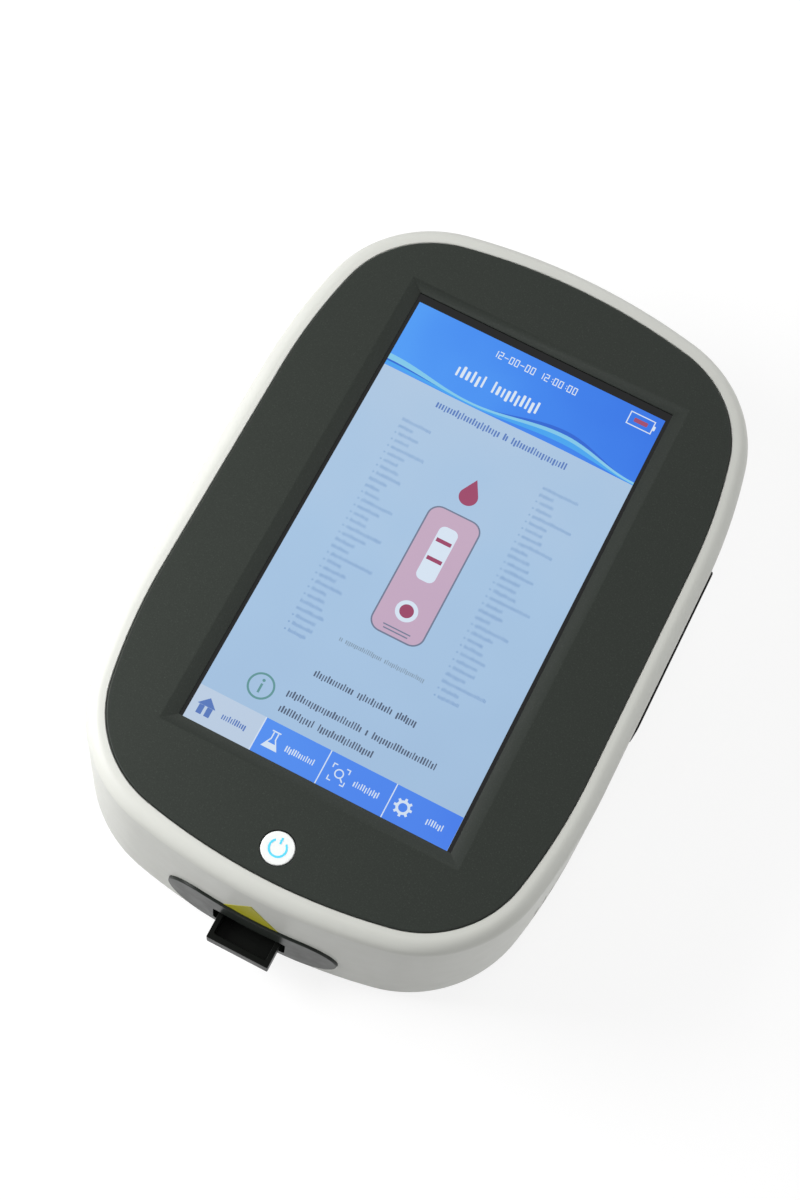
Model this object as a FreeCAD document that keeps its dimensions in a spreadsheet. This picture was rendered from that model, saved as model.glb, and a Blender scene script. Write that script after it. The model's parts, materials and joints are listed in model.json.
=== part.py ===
"""Rapid test reader: a hand-carried instrument with a touch screen and a motor-driven cassette tray.

Millimetres. +X is to the right of the screen, +Y is the end away from the tray and +Z is up. The origin
is on the surface that the feet stand on, under the middle of the whole object with the tray at rest.
"""
import FreeCAD, Part
import math
import os
import re

import Sketcher
from FreeCAD import Rotation, Vector

SIZES = {
    # Plan outline of the top cover: straight sides, shoulder arcs, corner arcs and end arcs.
    "cover_half_width": 70.3,
    "cover_half_length": 106.7,
    "side_straight_half": 37,
    "side_arc_radius": 185,
    "corner_arc_radius": 35.4,
    "end_arc_radius": 186.6,
    "body_centre_y": 3.9,
    # Heights of the housing.
    "overall_height": 65,
    "foot_stand": 2,
    "seam_height": 7.5,
    "rim_drop": 0.4,
    # Main shell: its wall leans out from the rim to the seam.
    "shell_flare": 7.6,
    "flare_angle": 1.8,
    "rim_radius": 4.4,
    "shell_wall": 2.6,
    "ledge_width": 3,
    "ledge_thickness": 2.4,
    # Top cover and its bevelled window.
    "cover_thickness": 2.5,
    "cover_gap": 0.2,
    "cover_edge_radius": 0.6,
    "screen_shift": 2,
    "window_width": 88.4,
    "window_length": 157.2,
    "window_shift": 1.5,
    "bevel_width": 4.1,
    "bevel_top_width": 2.8,
    "bevel_foot": 0.4,
    "glass_rib_wall": 1.2,
    # Display stack under the cover.
    "glass_width": 96,
    "glass_length": 164,
    "glass_thickness": 1.5,
    "glass_clearance": 0.15,
    "gasket_thickness": 0.6,
    "panel_width": 100,
    "panel_length": 165,
    "panel_thickness": 3.5,
    "frame_width": 114,
    "frame_length": 172,
    "frame_thickness": 1,
    "frame_boss_x": 53.5,
    "frame_boss_pitch": 70,
    "boss_radius": 2.5,
    # Base cover.
    "base_floor": 2.5,
    "base_edge_radius": 5,
    "tongue_height": 2.5,
    "tongue_gap": 0.25,
    "tongue_wall": 1.5,
    "foot_radius": 6.5,
    "foot_sink": 1,
    "foot_side_inset": 18.3,
    "foot_front_inset": 34.4,
    "foot_rear_inset": 34.2,
    # Screws.
    "screw_inset": 1.8,
    "front_screw_y": -38,
    "rear_screw_y": 68,
    "pillar_bottom": 14,
    "pillar_width": 7,
    "pillar_length": 8,
    "rib_thickness": 1.6,
    "base_boss_radius": 4,
    "base_screw_radius": 1.4,
    "base_screw_length": 17,
    "base_head_radius": 2.75,
    "base_head_height": 2.2,
    "base_head_seat": 3,
    "pilot_depth": 10,
    "screw_clearance": 0.1,
    "tab_reach": 13.3,
    "tab_length": 10,
    "tab_pitch": 60,
    "tab_screw_inset": 9.3,
    "small_screw_radius": 1,
    "small_head_radius": 2,
    "small_head_height": 1.2,
    "cover_screw_bite": 1.7,
    "frame_screw_bite": 3.5,
    # Power button, on the front end of the cover.
    "button_inset": 9.5,
    "button_radius": 5,
    "button_gap": 0.3,
    "button_flange_radius": 5.8,
    "button_flange_thickness": 1,
    "button_sink": 0.1,
    "button_stem_radius": 2,
    "button_board_drop": 11,
    "board_thickness": 1.6,
    "switch_size": 6,
    "switch_height": 3.3,
    "plunger_radius": 1.25,
    "plunger_hole_depth": 2.2,
    "button_boss_x": 8.6,
    "button_boss_radius": 2.25,
    "button_screw_bite": 2.5,
    "button_board_width": 23,
    "button_board_length": 12,
    "button_flange_gap": 0.3,
    "button_edge_radius": 0.4,
    "plunger_rise": 0.9,
    "plunger_length": 2.1,
    "running_gap": 0.05,
    # Main board, hung under the display frame.
    "standoff_length": 15.8,
    "standoff_radius": 2.9,
    "board_screw_bite": 4,
    "standoff_x": 50,
    "standoff_front_y": 14,
    "standoff_rear_y": 85,
    "board_width": 116,
    "board_front_y": -10,
    "board_rear_y": 95,
    "board_edge_inset": 6.3,
    "shield_size": 38,
    "shield_height": 3.2,
    "shield_y": 45,
    "connector_width": 18,
    "connector_length": 6,
    "connector_height": 6,
    "flex_width": 20,
    "flex_thickness": 0.3,
    "flex_y": 60,
    # Ports behind the flap in the right wall.
    "port_centre_y": 24.9,
    "port_length": 60,
    "port_rise": 2,
    "port_proud": 0.75,
    "port_drop": 3.3,
    "flap_thickness": 2.2,
    "flap_barrel_radius": 2.14,
    "flap_clearance": 0.35,
    "flap_corner_radius": 3,
    "flap_pin_radius": 0.6,
    "flap_pin_clearance": 0.05,
    "flap_pin_overhang": 1.5,
    "port_back_inset": 5.5,
    "socket_depth": 14,
    "socket_height": 7,
    "usb_width": 14.4,
    "usb_pitch": 19,
    "service_width": 10,
    "socket_wall": 0.5,
    "socket_inset": 4.9,
    "socket_tongue": 1.8,
    "socket_roof": 0.9,
    "socket_side_gap": 3.6,
    "socket_back": 3.6,
    "port_margin": 3,
    # Power jack in the rear wall.
    "jack_x": 0,
    "jack_width": 9,
    "jack_height": 11,
    "jack_length": 14,
    "jack_bore_radius": 3.2,
    "jack_pin_radius": 1,
    "jack_shelf_height": 7.5,
    "jack_sink": 0.9,
    "window_clearance": 0.2,
    # Oval plate around the tray slot, in the front wall.
    "plate_width": 57.5,
    "plate_height": 24.5,
    "plate_rise": 1.25,
    "plate_seat_depth": 1.8,
    "plate_proud": 0.9,
    "plate_gap": 0.15,
    "plate_ledge": 2,
    "slot_side_gap": 1.85,
    "slot_under_gap": 1,
    "cassette_room": 3.8,
    "marker_width": 17.9,
    "marker_gap": 0.2,
    "marker_height": 15.5,
    "marker_thickness": 0.15,
    # Cassette tray and its carriage.
    "tray_proud": 7.8,
    "tray_width": 20.8,
    "tray_length": 96.2,
    "tray_rise": 3.3,
    "tray_floor": 1.6,
    "tray_bed_depth": 4.6,
    "tray_wall": 1.6,
    "tray_lip": 2,
    "tray_bed_length": 72,
    "carriage_reach": 2,
    "carriage_length": 20,
    "tray_tail_rise": 1.5,
    "tray_screw_front_inset": 14,
    "tray_screw_rear_inset": 4,
    "rod_x": 19,
    "rod_rise": 6,
    "rod_radius": 2,
    "bush_radius": 3.4,
    "bush_length": 6,
    "fit_gap": 0.02,
    "carriage_boss_radius": 4.6,
    "web_drop": 1.5,
    "flag_reach": 7.5,
    "flag_drop": 0.6,
    "flag_thickness": 1.2,
    "flag_length": 2,
    "sensor_offset": 8,
    "sensor_inset": 9,
    "sensor_width": 6,
    "sensor_length": 6,
    "sensor_height": 11,
    "sensor_slot": 2.4,
    # Lead screw and its motor.
    "screw_offset": 12,
    "screw_rise": 5,
    "lead_screw_radius": 2,
    "nut_radius": 4,
    "nut_length": 12,
    "nut_housing_half": 5.5,
    "motor_radius": 10,
    "motor_length": 15,
    "motor_plate": 1.5,
    # Deck that carries the scanner.
    "deck_margin": 1,
    "deck_right_margin": 2,
    "deck_setback": 12.4,
    "deck_length": 112,
    "deck_thickness": 1.5,
    "rod_block_length": 5,
    "rod_length": 95,
    "rod_block_wall": 5,
    "front_block_rise": 3,
    "rear_block_rise": 5,
    "deck_screw_inset": 4,
    "bearing_radius": 3.5,
    "shaft_hole_radius": 5,
    # Optics on a bridge over the tray.
    "bridge_left_reach": 11,
    "bridge_right_reach": 9,
    "bridge_setback": 14,
    "bridge_length": 34,
    "bridge_headroom": 0.2,
    "bridge_foot": 6.5,
    "bridge_screw_margin": 0.6,
    "sheet_thickness": 1.5,
    "optics_width": 36,
    "optics_length": 30,
    "optics_height": 16,
    "optics_bore_radius": 5,
    "light_port_radius": 3.5,
    "optic_clearance": 0.1,
    "lens_rise": 1,
    "lens_thickness": 3.2,
    "filter_rise": 6.5,
    "filter_thickness": 2,
    "detector_radius": 4,
    "detector_height": 4,
    "lamp_radius": 2.5,
    "lamp_length": 8.6,
    "lamp_rise": 11,
    # Battery and its door in the base.
    "battery_x": -19,
    "battery_y": 56,
    "battery_width": 40,
    "battery_length": 72,
    "battery_height": 19,
    "door_width": 46,
    "door_length": 88,
    "door_thickness": 1.4,
    "door_gap": 0.3,
    "door_screw_inset": 3.5,
    "door_head_sink": 0.8,
    "door_head_height": 0.7,
    "hatch_width": 42,
    "hatch_length": 74,
    "door_pad_height": 1.5,
    # Speaker behind the slots in the right wall.
    "speaker_inset": 3.3,
    "speaker_y": -56,
    "speaker_thickness": 5,
    "speaker_length": 22,
    "speaker_height": 20,
    "speaker_slot_width": 1.5,
    "speaker_slot_pitch": 4.2,
    "speaker_slot_bottom": 13,
    "speaker_slot_height": 11,
    "speaker_post": 2,
    "speaker_post_height": 14,
    "speaker_cone_radius": 7.5,
    "speaker_cone_height": 1,
    "vent_slot_width": 2,
    "vent_slot_length": 26,
    "vent_slot_pitch": 4.5,
    "vent_x": 32,
    "vent_y": 62,
}

RULES = {
    # Levels, from the top down.
    "cover_seat": "overall_height - cover_thickness",
    "shell_top": "overall_height - rim_drop",
    "ceiling": "cover_seat - ledge_thickness",
    "glass_bottom": "cover_seat - glass_thickness",
    "panel_top": "glass_bottom - gasket_thickness",
    "panel_bottom": "panel_top - panel_thickness",
    "frame_bottom": "panel_bottom - frame_thickness",
    "board_top": "frame_bottom - standoff_length",
    "board_bottom": "board_top - board_thickness",
    "socket_bottom": "board_bottom - socket_height",
    "socket_tongue_bottom": "board_bottom - socket_roof - socket_tongue",
    "port_top": "board_bottom + port_rise",
    "port_pivot_z": "socket_bottom - port_drop",
    "flange_top": "cover_seat - button_flange_gap",
    "button_board_level": "cover_seat - button_board_drop",
    "switch_bottom": "button_board_level + board_thickness",
    "shaft_top": "switch_bottom + switch_height + plunger_rise",
    # Levels, from the floor up.
    "floor_top": "foot_stand + base_floor",
    "battery_bottom": "foot_stand + door_thickness + door_pad_height",
    "deck_top": "floor_top + deck_thickness",
    "rod_level": "deck_top + rod_rise",
    "web_level": "rod_level - web_drop",
    "flag_level": "rod_level - flag_drop",
    "screw_axis_z": "rod_level + screw_rise",
    "front_block_top": "rod_level + front_block_rise",
    "rear_block_top": "rod_level + rear_block_rise",
    "tray_bottom": "rod_level + tray_rise",
    "tray_bed_level": "tray_bottom + tray_floor",
    "tray_top": "tray_bed_level + tray_bed_depth",
    "slot_bottom": "tray_bottom - slot_under_gap",
    "slot_top": "tray_top + cassette_room",
    "plate_centre_z": "tray_top + plate_rise",
    "bridge_level": "slot_top + bridge_headroom",
    "bridge_top": "bridge_level + sheet_thickness",
    # Holes for screws.
    "small_hole_radius": "small_screw_radius + screw_clearance",
    "base_hole_radius": "base_screw_radius + screw_clearance",
    # Places across the width.
    "wall_x": "cover_half_width + shell_flare",
    "screw_x": "cover_half_width - screw_inset",
    "tab_inner_x": "cover_half_width - tab_reach",
    "tab_screw_x": "cover_half_width - tab_screw_inset",
    "foot_x": "cover_half_width - foot_side_inset",
    "speaker_x": "cover_half_width - speaker_inset",
    "port_face_x": "wall_x - ((port_top + port_pivot_z) / 2 - seam_height) * tan(flare_angle) + port_proud",
    "port_pivot_x": "port_face_x - flap_barrel_radius",
    "port_back_x": "port_face_x - port_back_inset",
    "socket_mouth_x": "port_face_x - socket_inset",
    "board_tongue_x": "port_face_x - board_edge_inset",
    "screw_axis_x": "rod_x + screw_offset",
    "flag_left_x": "-rod_x - flag_reach",
    "sensor_x": "-rod_x - sensor_offset",
    "slot_width": "tray_width + 2 * slot_side_gap",
    "bridge_left_x": "-rod_x - bridge_left_reach",
    "bridge_right_x": "screw_axis_x + bridge_right_reach",
    "deck_left_x": "bridge_left_x - deck_margin",
    "deck_right_x": "bridge_right_x + deck_right_margin",
    # Places along the length.
    "screen_centre_y": "body_centre_y + screen_shift",
    "glass_centre_y": "screen_centre_y + window_shift",
    "front_wall_y": "body_centre_y - cover_half_length - shell_flare",
    "rear_wall_y": "body_centre_y + cover_half_length + shell_flare",
    "foot_front_y": "front_wall_y + foot_front_inset",
    "foot_rear_y": "rear_wall_y - foot_rear_inset",
    "jack_mouth_y": "rear_wall_y - jack_sink",
    "button_y": "body_centre_y - cover_half_length + button_inset",
    "tray_tip_y": "front_wall_y - tray_proud",
    "tray_end_y": "tray_tip_y + tray_length",
    "tray_screw_front_y": "tray_end_y - tray_screw_front_inset",
    "tray_screw_rear_y": "tray_end_y - tray_screw_rear_inset",
    "carriage_rear_y": "tray_end_y + carriage_reach",
    "carriage_front_y": "carriage_rear_y - carriage_length",
    "deck_front_y": "front_wall_y + deck_setback",
    "deck_rear_y": "deck_front_y + deck_length",
    "rear_block_y": "deck_front_y + rod_length",
    "sensor_y": "rear_block_y - sensor_inset",
    "bridge_front_y": "deck_front_y + bridge_setback",
    "bridge_rear_y": "bridge_front_y + bridge_length",
    "optics_y": "(bridge_front_y + bridge_rear_y) / 2",
}

SIDES = (-1, 1)
SPEAKER_SLOTS = 5
VENT_SLOTS = 6
TOOL_DEPTH = 40
PLANE_AXES = {
    "XY_Plane": lambda x, y, z: (x, y, z),
    "XZ_Plane": lambda x, y, z: (x, z, f"-({y})"),
    "YZ_Plane": lambda x, y, z: (y, z, x),
}
TURNS = {
    "x": Rotation(Vector(0, 1, 0), 90),
    "y": Rotation(Vector(1, 0, 0), -90),
    "z": Rotation(),
}

doc = FreeCAD.newDocument("rapid_test_reader")
sheet = doc.addObject("Spreadsheet::Sheet", "Sizes")
for row, (alias, size) in enumerate(SIZES.items(), start=1):
    sheet.set(f"A{row}", alias)
    sheet.set(f"B{row}", str(size))
    sheet.setAlias(f"B{row}", alias)
doc.recompute()

sub_parts = []


def in_sheet(rule):
    """Write a rule over the names of sizes and other rules as an expression over the sheet's cells."""

    def spell(word):
        if word[0] in RULES:
            return f"({in_sheet(RULES[word[0]])})"
        return f"Sizes.{word[0]}" if word[0] in SIZES else word[0]

    return re.sub(r"[a-z_]+", spell, str(rule))


def value(rule):
    """The present value of a rule, in millimetres."""
    return float(sheet.evalExpression(in_sheet(rule)))


def bind(item, path, rule):
    """Tie a property of an object to a rule."""
    item.setExpression(path, in_sheet(rule))


def place(item, position, path="Placement.Base"):
    """Tie an object's position to three rules."""
    for axis, rule in zip("xyz", position):
        bind(item, f"{path}.{axis}", rule)


def flare(level):
    """How far the main shell's outer face stands out from the cover outline at a level."""
    return f"(shell_flare - ({level} - seam_height) * tan(flare_angle))"


def circles_meet(first, first_radius, second, second_radius):
    """The point at two distances from two centres that lies furthest towards +X and +Y."""
    apart = second - first
    along = (first_radius**2 - second_radius**2 + apart.Length**2) / (2 * apart.Length)
    across = math.sqrt(first_radius**2 - along**2)
    unit = Vector(apart).normalize()
    foot = first + unit * along
    normal = Vector(-unit.y, unit.x, 0)
    return max((foot + normal * across, foot - normal * across), key=lambda point: point.x + point.y)


def constrain(sketch, rule, kind, *where):
    """Add a dimension to a sketch and tie it to a rule."""
    index = sketch.addConstraint(Sketcher.Constraint(kind, *where, value(rule)))
    bind(sketch, f"Constraints[{index}]", rule)


def draw_outline(sketch, grow):
    """Draw the plan outline as twelve tangent lines and arcs, grown outwards by a rule."""
    offset = value(grow)
    straight = value("side_straight_half")
    radii = {"side": "side_arc_radius", "corner": "corner_arc_radius", "end": "end_arc_radius"}
    radius = {name: value(rule) for name, rule in radii.items()}
    side = Vector(value("cover_half_width") - radius["side"], straight, 0)
    end = Vector(0, value("cover_half_length") - radius["end"], 0)
    corner = circles_meet(side, radius["side"] - radius["corner"], end, radius["end"] - radius["corner"])
    first = math.atan2(corner.y - side.y, corner.x - side.x)
    second = math.atan2(corner.y - end.y, corner.x - end.x)
    half_turn = (
        ("side", side, 0, first),
        ("corner", corner, first, second),
        ("end", end, second, math.pi - second),
        ("corner", Vector(-corner.x, corner.y, 0), math.pi - second, math.pi - first),
        ("side", Vector(-side.x, side.y, 0), math.pi - first, math.pi),
    )
    edge = value("cover_half_width") + offset
    count = 2 * (len(half_turn) + 1)
    for sign, start in ((1, 0), (-1, math.pi)):
        ends = [Vector(sign * edge, turn * sign * straight, 0) for turn in SIDES]
        sketch.addGeometry(Part.LineSegment(*ends))
        for name, centre, low, high in half_turn:
            circle = Part.Circle(centre * sign, Vector(0, 0, 1), radius[name] + offset)
            sketch.addGeometry(Part.ArcOfCircle(circle, start + low, start + high))
    for index in range(count):
        sketch.addConstraint(Sketcher.Constraint("Tangent", index, 2, (index + 1) % count, 1))
    for half in (0, count // 2):
        sketch.addConstraint(Sketcher.Constraint("Vertical", half))
        for step, (name, *_) in enumerate(half_turn, start=1):
            constrain(sketch, f"{radii[name]} + {grow}", "Radius", half + step)
        sketch.addConstraint(Sketcher.Constraint("PointOnObject", half + 3, 3, -2))
    constrain(sketch, f"cover_half_width + {grow}", "DistanceX", -1, 1, 0, 1)
    constrain(sketch, f"cover_half_width + {grow}", "DistanceX", count // 2, 1, -1, 1)
    constrain(sketch, "side_straight_half", "DistanceY", 0, 1, -1, 1)
    constrain(sketch, "side_straight_half", "DistanceY", -1, 1, 0, 2)
    constrain(sketch, "side_straight_half", "DistanceY", -1, 1, count // 2, 1)
    constrain(sketch, "side_straight_half", "DistanceY", count // 2, 2, -1, 1)
    constrain(sketch, "end_arc_radius - cover_half_length", "DistanceY", 3, 3, -1, 1)
    constrain(sketch, "end_arc_radius - cover_half_length", "DistanceY", -1, 1, count // 2 + 3, 3)


def draw_rectangle(sketch, width, height):
    """Draw a rectangle centred on the sketch's origin."""
    across, up = value(width) / 2, value(height) / 2
    first = sketch.GeometryCount
    corners = [Vector(x * across, y * up, 0) for x, y in ((-1, -1), (1, -1), (1, 1), (-1, 1))]
    for index, corner in enumerate(corners):
        sketch.addGeometry(Part.LineSegment(corner, corners[(index + 1) % 4]))
    for index in range(4):
        sketch.addConstraint(Sketcher.Constraint("Coincident", first + index, 2, first + (index + 1) % 4, 1))
        sketch.addConstraint(Sketcher.Constraint(("Horizontal", "Vertical")[index % 2], first + index))
    sketch.addConstraint(Sketcher.Constraint("Symmetric", first, 1, first + 2, 1, -1, 1))
    constrain(sketch, width, "DistanceX", first, 1, first, 2)
    constrain(sketch, height, "DistanceY", first + 1, 1, first + 1, 2)


def draw_frame(sketch, width, height, wall):
    """Draw a rectangle with another one a wall's thickness outside it."""
    draw_rectangle(sketch, width, height)
    draw_rectangle(sketch, f"{width} + 2 * {wall}", f"{height} + 2 * {wall}")


def draw_stadium(sketch, width, height):
    """Draw a slot with round ends, lying along the sketch's first axis."""
    reach, radius = (value(width) - value(height)) / 2, value(height) / 2
    half_pi = math.pi / 2
    sketch.addGeometry(Part.LineSegment(Vector(-reach, -radius, 0), Vector(reach, -radius, 0)))
    right = Part.Circle(Vector(reach, 0, 0), Vector(0, 0, 1), radius)
    sketch.addGeometry(Part.ArcOfCircle(right, -half_pi, half_pi))
    sketch.addGeometry(Part.LineSegment(Vector(reach, radius, 0), Vector(-reach, radius, 0)))
    left = Part.Circle(Vector(-reach, 0, 0), Vector(0, 0, 1), radius)
    sketch.addGeometry(Part.ArcOfCircle(left, half_pi, 3 * half_pi))
    for index in range(4):
        sketch.addConstraint(Sketcher.Constraint("Tangent", index, 2, (index + 1) % 4, 1))
    sketch.addConstraint(Sketcher.Constraint("Horizontal", 0))
    sketch.addConstraint(Sketcher.Constraint("Symmetric", 1, 3, 3, 3, -1, 1))
    constrain(sketch, f"({height}) / 2", "Radius", 1)
    constrain(sketch, f"({width}) - ({height})", "DistanceX", 0, 1, 0, 2)


def draw_triangle(sketch, width, height):
    """Draw a triangle that stands on the sketch's first axis with its apex above the origin."""
    across, up = value(width) / 2, value(height)
    corners = (Vector(-across, 0, 0), Vector(across, 0, 0), Vector(0, up, 0))
    for index, corner in enumerate(corners):
        sketch.addGeometry(Part.LineSegment(corner, corners[(index + 1) % 3]))
    for index in range(3):
        sketch.addConstraint(Sketcher.Constraint("Coincident", index, 2, (index + 1) % 3, 1))
    sketch.addConstraint(Sketcher.Constraint("Symmetric", 0, 1, 0, 2, -1, 1))
    sketch.addConstraint(Sketcher.Constraint("PointOnObject", 0, 1, -1))
    sketch.addConstraint(Sketcher.Constraint("PointOnObject", 1, 2, -2))
    constrain(sketch, width, "DistanceX", 0, 1, 0, 2)
    constrain(sketch, height, "DistanceY", -1, 1, 1, 2)


def draw_circle(sketch, radius):
    """Draw a circle on the sketch's origin."""
    sketch.addGeometry(Part.Circle(Vector(), Vector(0, 0, 1), value(radius)))
    sketch.addConstraint(Sketcher.Constraint("Coincident", 0, 3, -1, 1))
    constrain(sketch, radius, "Radius", 0)


def draw_shell_profile(sketch):
    """Draw the main shell's wall in section: leaning wall, round rim, cover recess and inner ledge."""
    edge, top, seam = "cover_half_width", "shell_top", "seam_height"
    ledge, skin = f"{edge} - ledge_width", f"{edge} + {flare("ceiling")} - shell_wall"
    arc_x = f"{edge} + {flare(f'({top} - rim_radius)')} - rim_radius / cos(flare_angle)"
    arc_z = f"{top} - rim_radius"
    lean = math.radians(value("flare_angle"))
    centre = Vector(value(arc_x), value(arc_z), 0)
    arc = Part.ArcOfCircle(Part.Circle(centre, Vector(0, 0, 1), value("rim_radius")), lean, math.pi / 2)
    corners = (
        (f"{edge} + shell_flare", seam),
        (edge, top),
        (edge, "cover_seat"),
        (ledge, "cover_seat"),
        (ledge, "ceiling"),
        (skin, "ceiling"),
        (f"{edge} + shell_flare - shell_wall", seam),
    )
    points = [Vector(value(x), value(z), 0) for x, z in corners]
    sketch.addGeometry(Part.LineSegment(points[0], arc.StartPoint))
    sketch.addGeometry(arc)
    sketch.addGeometry(Part.LineSegment(arc.EndPoint, points[1]))
    for start, stop in zip(points[1:], points[2:] + points[:1]):
        sketch.addGeometry(Part.LineSegment(start, stop))
    count = sketch.GeometryCount
    sketch.addConstraint(Sketcher.Constraint("Tangent", 0, 2, 1, 1))
    sketch.addConstraint(Sketcher.Constraint("Tangent", 1, 2, 2, 1))
    for index in range(2, count):
        sketch.addConstraint(Sketcher.Constraint("Coincident", index, 2, (index + 1) % count, 1))
    sketch.addConstraint(Sketcher.Constraint("Horizontal", 2))
    constrain(sketch, "rim_radius", "Radius", 1)
    constrain(sketch, arc_x, "DistanceX", -1, 1, 1, 3)
    constrain(sketch, arc_z, "DistanceY", -1, 1, 1, 3)
    constrain(sketch, corners[0][0], "DistanceX", -1, 1, 0, 1)
    constrain(sketch, corners[0][1], "DistanceY", -1, 1, 0, 1)
    constrain(sketch, corners[1][0], "DistanceX", -1, 1, 2, 2)
    for index, (x, z) in enumerate(corners[2:], start=3):
        constrain(sketch, x, "DistanceX", -1, 1, index, 2)
        constrain(sketch, z, "DistanceY", -1, 1, index, 2)


def finish(item, label):
    """Name an object as a sub-part."""
    item.Label = label
    sub_parts.append(item)
    return item


class Moulding:
    """A body built from sketches that are padded, pocketed and lofted, with short calls for each."""

    def __init__(self, name, position=("0", "0", "0")):
        self.body = doc.addObject("PartDesign::Body", f"{name}_body")
        self.name = name
        place(self.body, position)

    def sketch(self, draw, sizes, position, plane="XY_Plane"):
        """A sketch on one of the body's own planes, moved to a position."""
        sketch = self.body.newObject("Sketcher::SketchObject", f"{self.name}_sketch")
        origin = next(item for item in self.body.Origin.OriginFeatures if item.Role == plane)
        sketch.AttachmentSupport = [(origin, "")]
        sketch.MapMode = "FlatFace"
        place(sketch, PLANE_AXES[plane](*position), "AttachmentOffset.Base")
        draw(sketch, *sizes)
        return sketch

    def pad(self, draw, sizes, position, depth, plane="XY_Plane"):
        """Add material above a sketch, or to both sides of one on an upright plane."""
        self._extrude("PartDesign::Pad", draw, sizes, position, depth, plane)

    def pocket(self, draw, sizes, position, depth, plane="XY_Plane"):
        """Cut away below a sketch, or to both sides of one on an upright plane."""
        self._extrude("PartDesign::Pocket", draw, sizes, position, depth, plane)

    def _extrude(self, kind, draw, sizes, position, depth, plane):
        sketch = self.sketch(draw, sizes, position, plane)
        feature = self.body.newObject(kind, f"{self.name}_feature")
        feature.Profile = sketch
        bind(feature, "Length", depth)
        if plane != "XY_Plane":
            feature.SideType = "Symmetric"
        self._check(kind == "PartDesign::Pocket")

    def loft(self, draw, sections, cut=False):
        """Add or cut a straight-sided loft between two sketches given as (sizes, position)."""
        sketches = [self.sketch(draw, sizes, position) for sizes, position in sections]
        kind = "PartDesign::SubtractiveLoft" if cut else "PartDesign::AdditiveLoft"
        feature = self.body.newObject(kind, f"{self.name}_loft")
        feature.Profile = sketches[0]
        feature.Sections = sketches[1:]
        feature.Ruled = True
        self._check(cut)

    def sweep(self, profile, path, start):
        """Add a profile, drawn on an upright plane, swept round the plan outline."""
        section = self.sketch(profile, (), start, "XZ_Plane")
        route = self.sketch(draw_outline, ("0",), path)
        feature = self.body.newObject("PartDesign::AdditivePipe", f"{self.name}_sweep")
        feature.Profile = section
        feature.Spine = (route, [])
        self._check(False)

    def fillet(self, level, radius):
        """Round the outermost edges that lie at a level."""
        doc.recompute()
        base = self.body.Tip
        height = value(level)
        edges = [
            f"Edge{index}"
            for index, edge in enumerate(base.Shape.Edges, start=1)
            if abs(edge.BoundBox.ZMin - height) < 1e-4 and abs(edge.BoundBox.ZMax - height) < 1e-4
        ]
        feature = self.body.newObject("PartDesign::Fillet", f"{self.name}_fillet")
        feature.Base = (base, edges)
        bind(feature, "Radius", radius)
        doc.recompute()

    def _check(self, cut):
        """Stop if the newest feature, a cut or an addition, changed nothing."""
        doc.recompute()
        feature = self.body.Tip
        if feature.BaseFeature is None:
            return
        change = feature.Shape.Volume - feature.BaseFeature.Shape.Volume
        if (change >= 0) if cut else (change <= 0):
            raise ValueError(f"{feature.Name} changed nothing")


class Assembly:
    """A sub-part of boxes, rods and prisms that are joined, with others cut away."""

    def __init__(self, name):
        self.name = name
        self.added = []
        self.removed = []

    def _primitive(self, kind, cut, position, turn="z"):
        item = doc.addObject(kind, f"{self.name}_{'cut' if cut else 'solid'}")
        item.Placement = FreeCAD.Placement(Vector(), TURNS[turn])
        place(item, position)
        (self.removed if cut else self.added).append(item)
        return item

    def box(self, size, position, cut=False):
        """A box centred in plan on a position, standing on its height."""
        width, length, height = size
        x, y, z = position
        item = self._primitive("Part::Box", cut, (f"{x} - ({width}) / 2", f"{y} - ({length}) / 2", z))
        bind(item, "Length", width)
        bind(item, "Width", length)
        bind(item, "Height", height)
        return item

    def span(self, low, high, cut=False):
        """A box between two corners."""
        item = self._primitive("Part::Box", cut, low)
        for side, start, stop in zip(("Length", "Width", "Height"), low, high):
            bind(item, side, f"{stop} - ({start})")
        return item

    def rod(self, radius, length, position, axis="z", cut=False):
        """A round rod from a position along an axis."""
        item = self._primitive("Part::Cylinder", cut, position, axis)
        bind(item, "Radius", radius)
        bind(item, "Height", length)
        return item

    def hexagon(self, radius, length, position):
        """A hexagonal bar from a position upwards."""
        item = self._primitive("Part::Prism", False, position)
        item.Polygon = 6
        bind(item, "Circumradius", radius)
        bind(item, "Height", length)
        return item

    def add(self, item):
        """Join an object that was made elsewhere."""
        self.added.append(item)

    def remove(self, item):
        """Cut with an object that was made elsewhere."""
        self.removed.append(item)

    def solid(self, separate=False):
        """The joined solid with its cuts, or separate solids kept in one compound."""
        shape = self.added[0]
        if len(self.added) > 1:
            kind = "Part::Compound" if separate else "Part::MultiFuse"
            shape = doc.addObject(kind, f"{self.name}_joined")
            setattr(shape, "Links" if separate else "Shapes", self.added)
        if self.removed:
            tool = self.removed[0]
            if len(self.removed) > 1:
                tool = doc.addObject("Part::MultiFuse", f"{self.name}_tools")
                tool.Shapes = self.removed
            result = doc.addObject("Part::Cut", f"{self.name}_cut")
            result.Base = shape
            result.Tool = tool
            shape = result
        return shape

    def finish(self, separate=False):
        """Make the solid and name it as a sub-part."""
        return finish(self.solid(separate), self.name)


def tool_prism(name, draw, sizes, level):
    """A prism through the front wall, to cut or trim with."""
    prism = Moulding(name)
    prism.pad(draw, sizes, ("0", "front_wall_y", level), TOOL_DEPTH, "XZ_Plane")
    return prism.body


def flared_solid(name, inset, top):
    """A block with the main shell's outer shape, an inset below its face, from the seam to a level."""
    block = Moulding(name)
    sections = [
        ((f"{flare(level)} - ({inset})",), ("0", "body_centre_y", level)) for level in ("seam_height", top)
    ]
    block.loft(draw_outline, sections)
    return block.body


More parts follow.
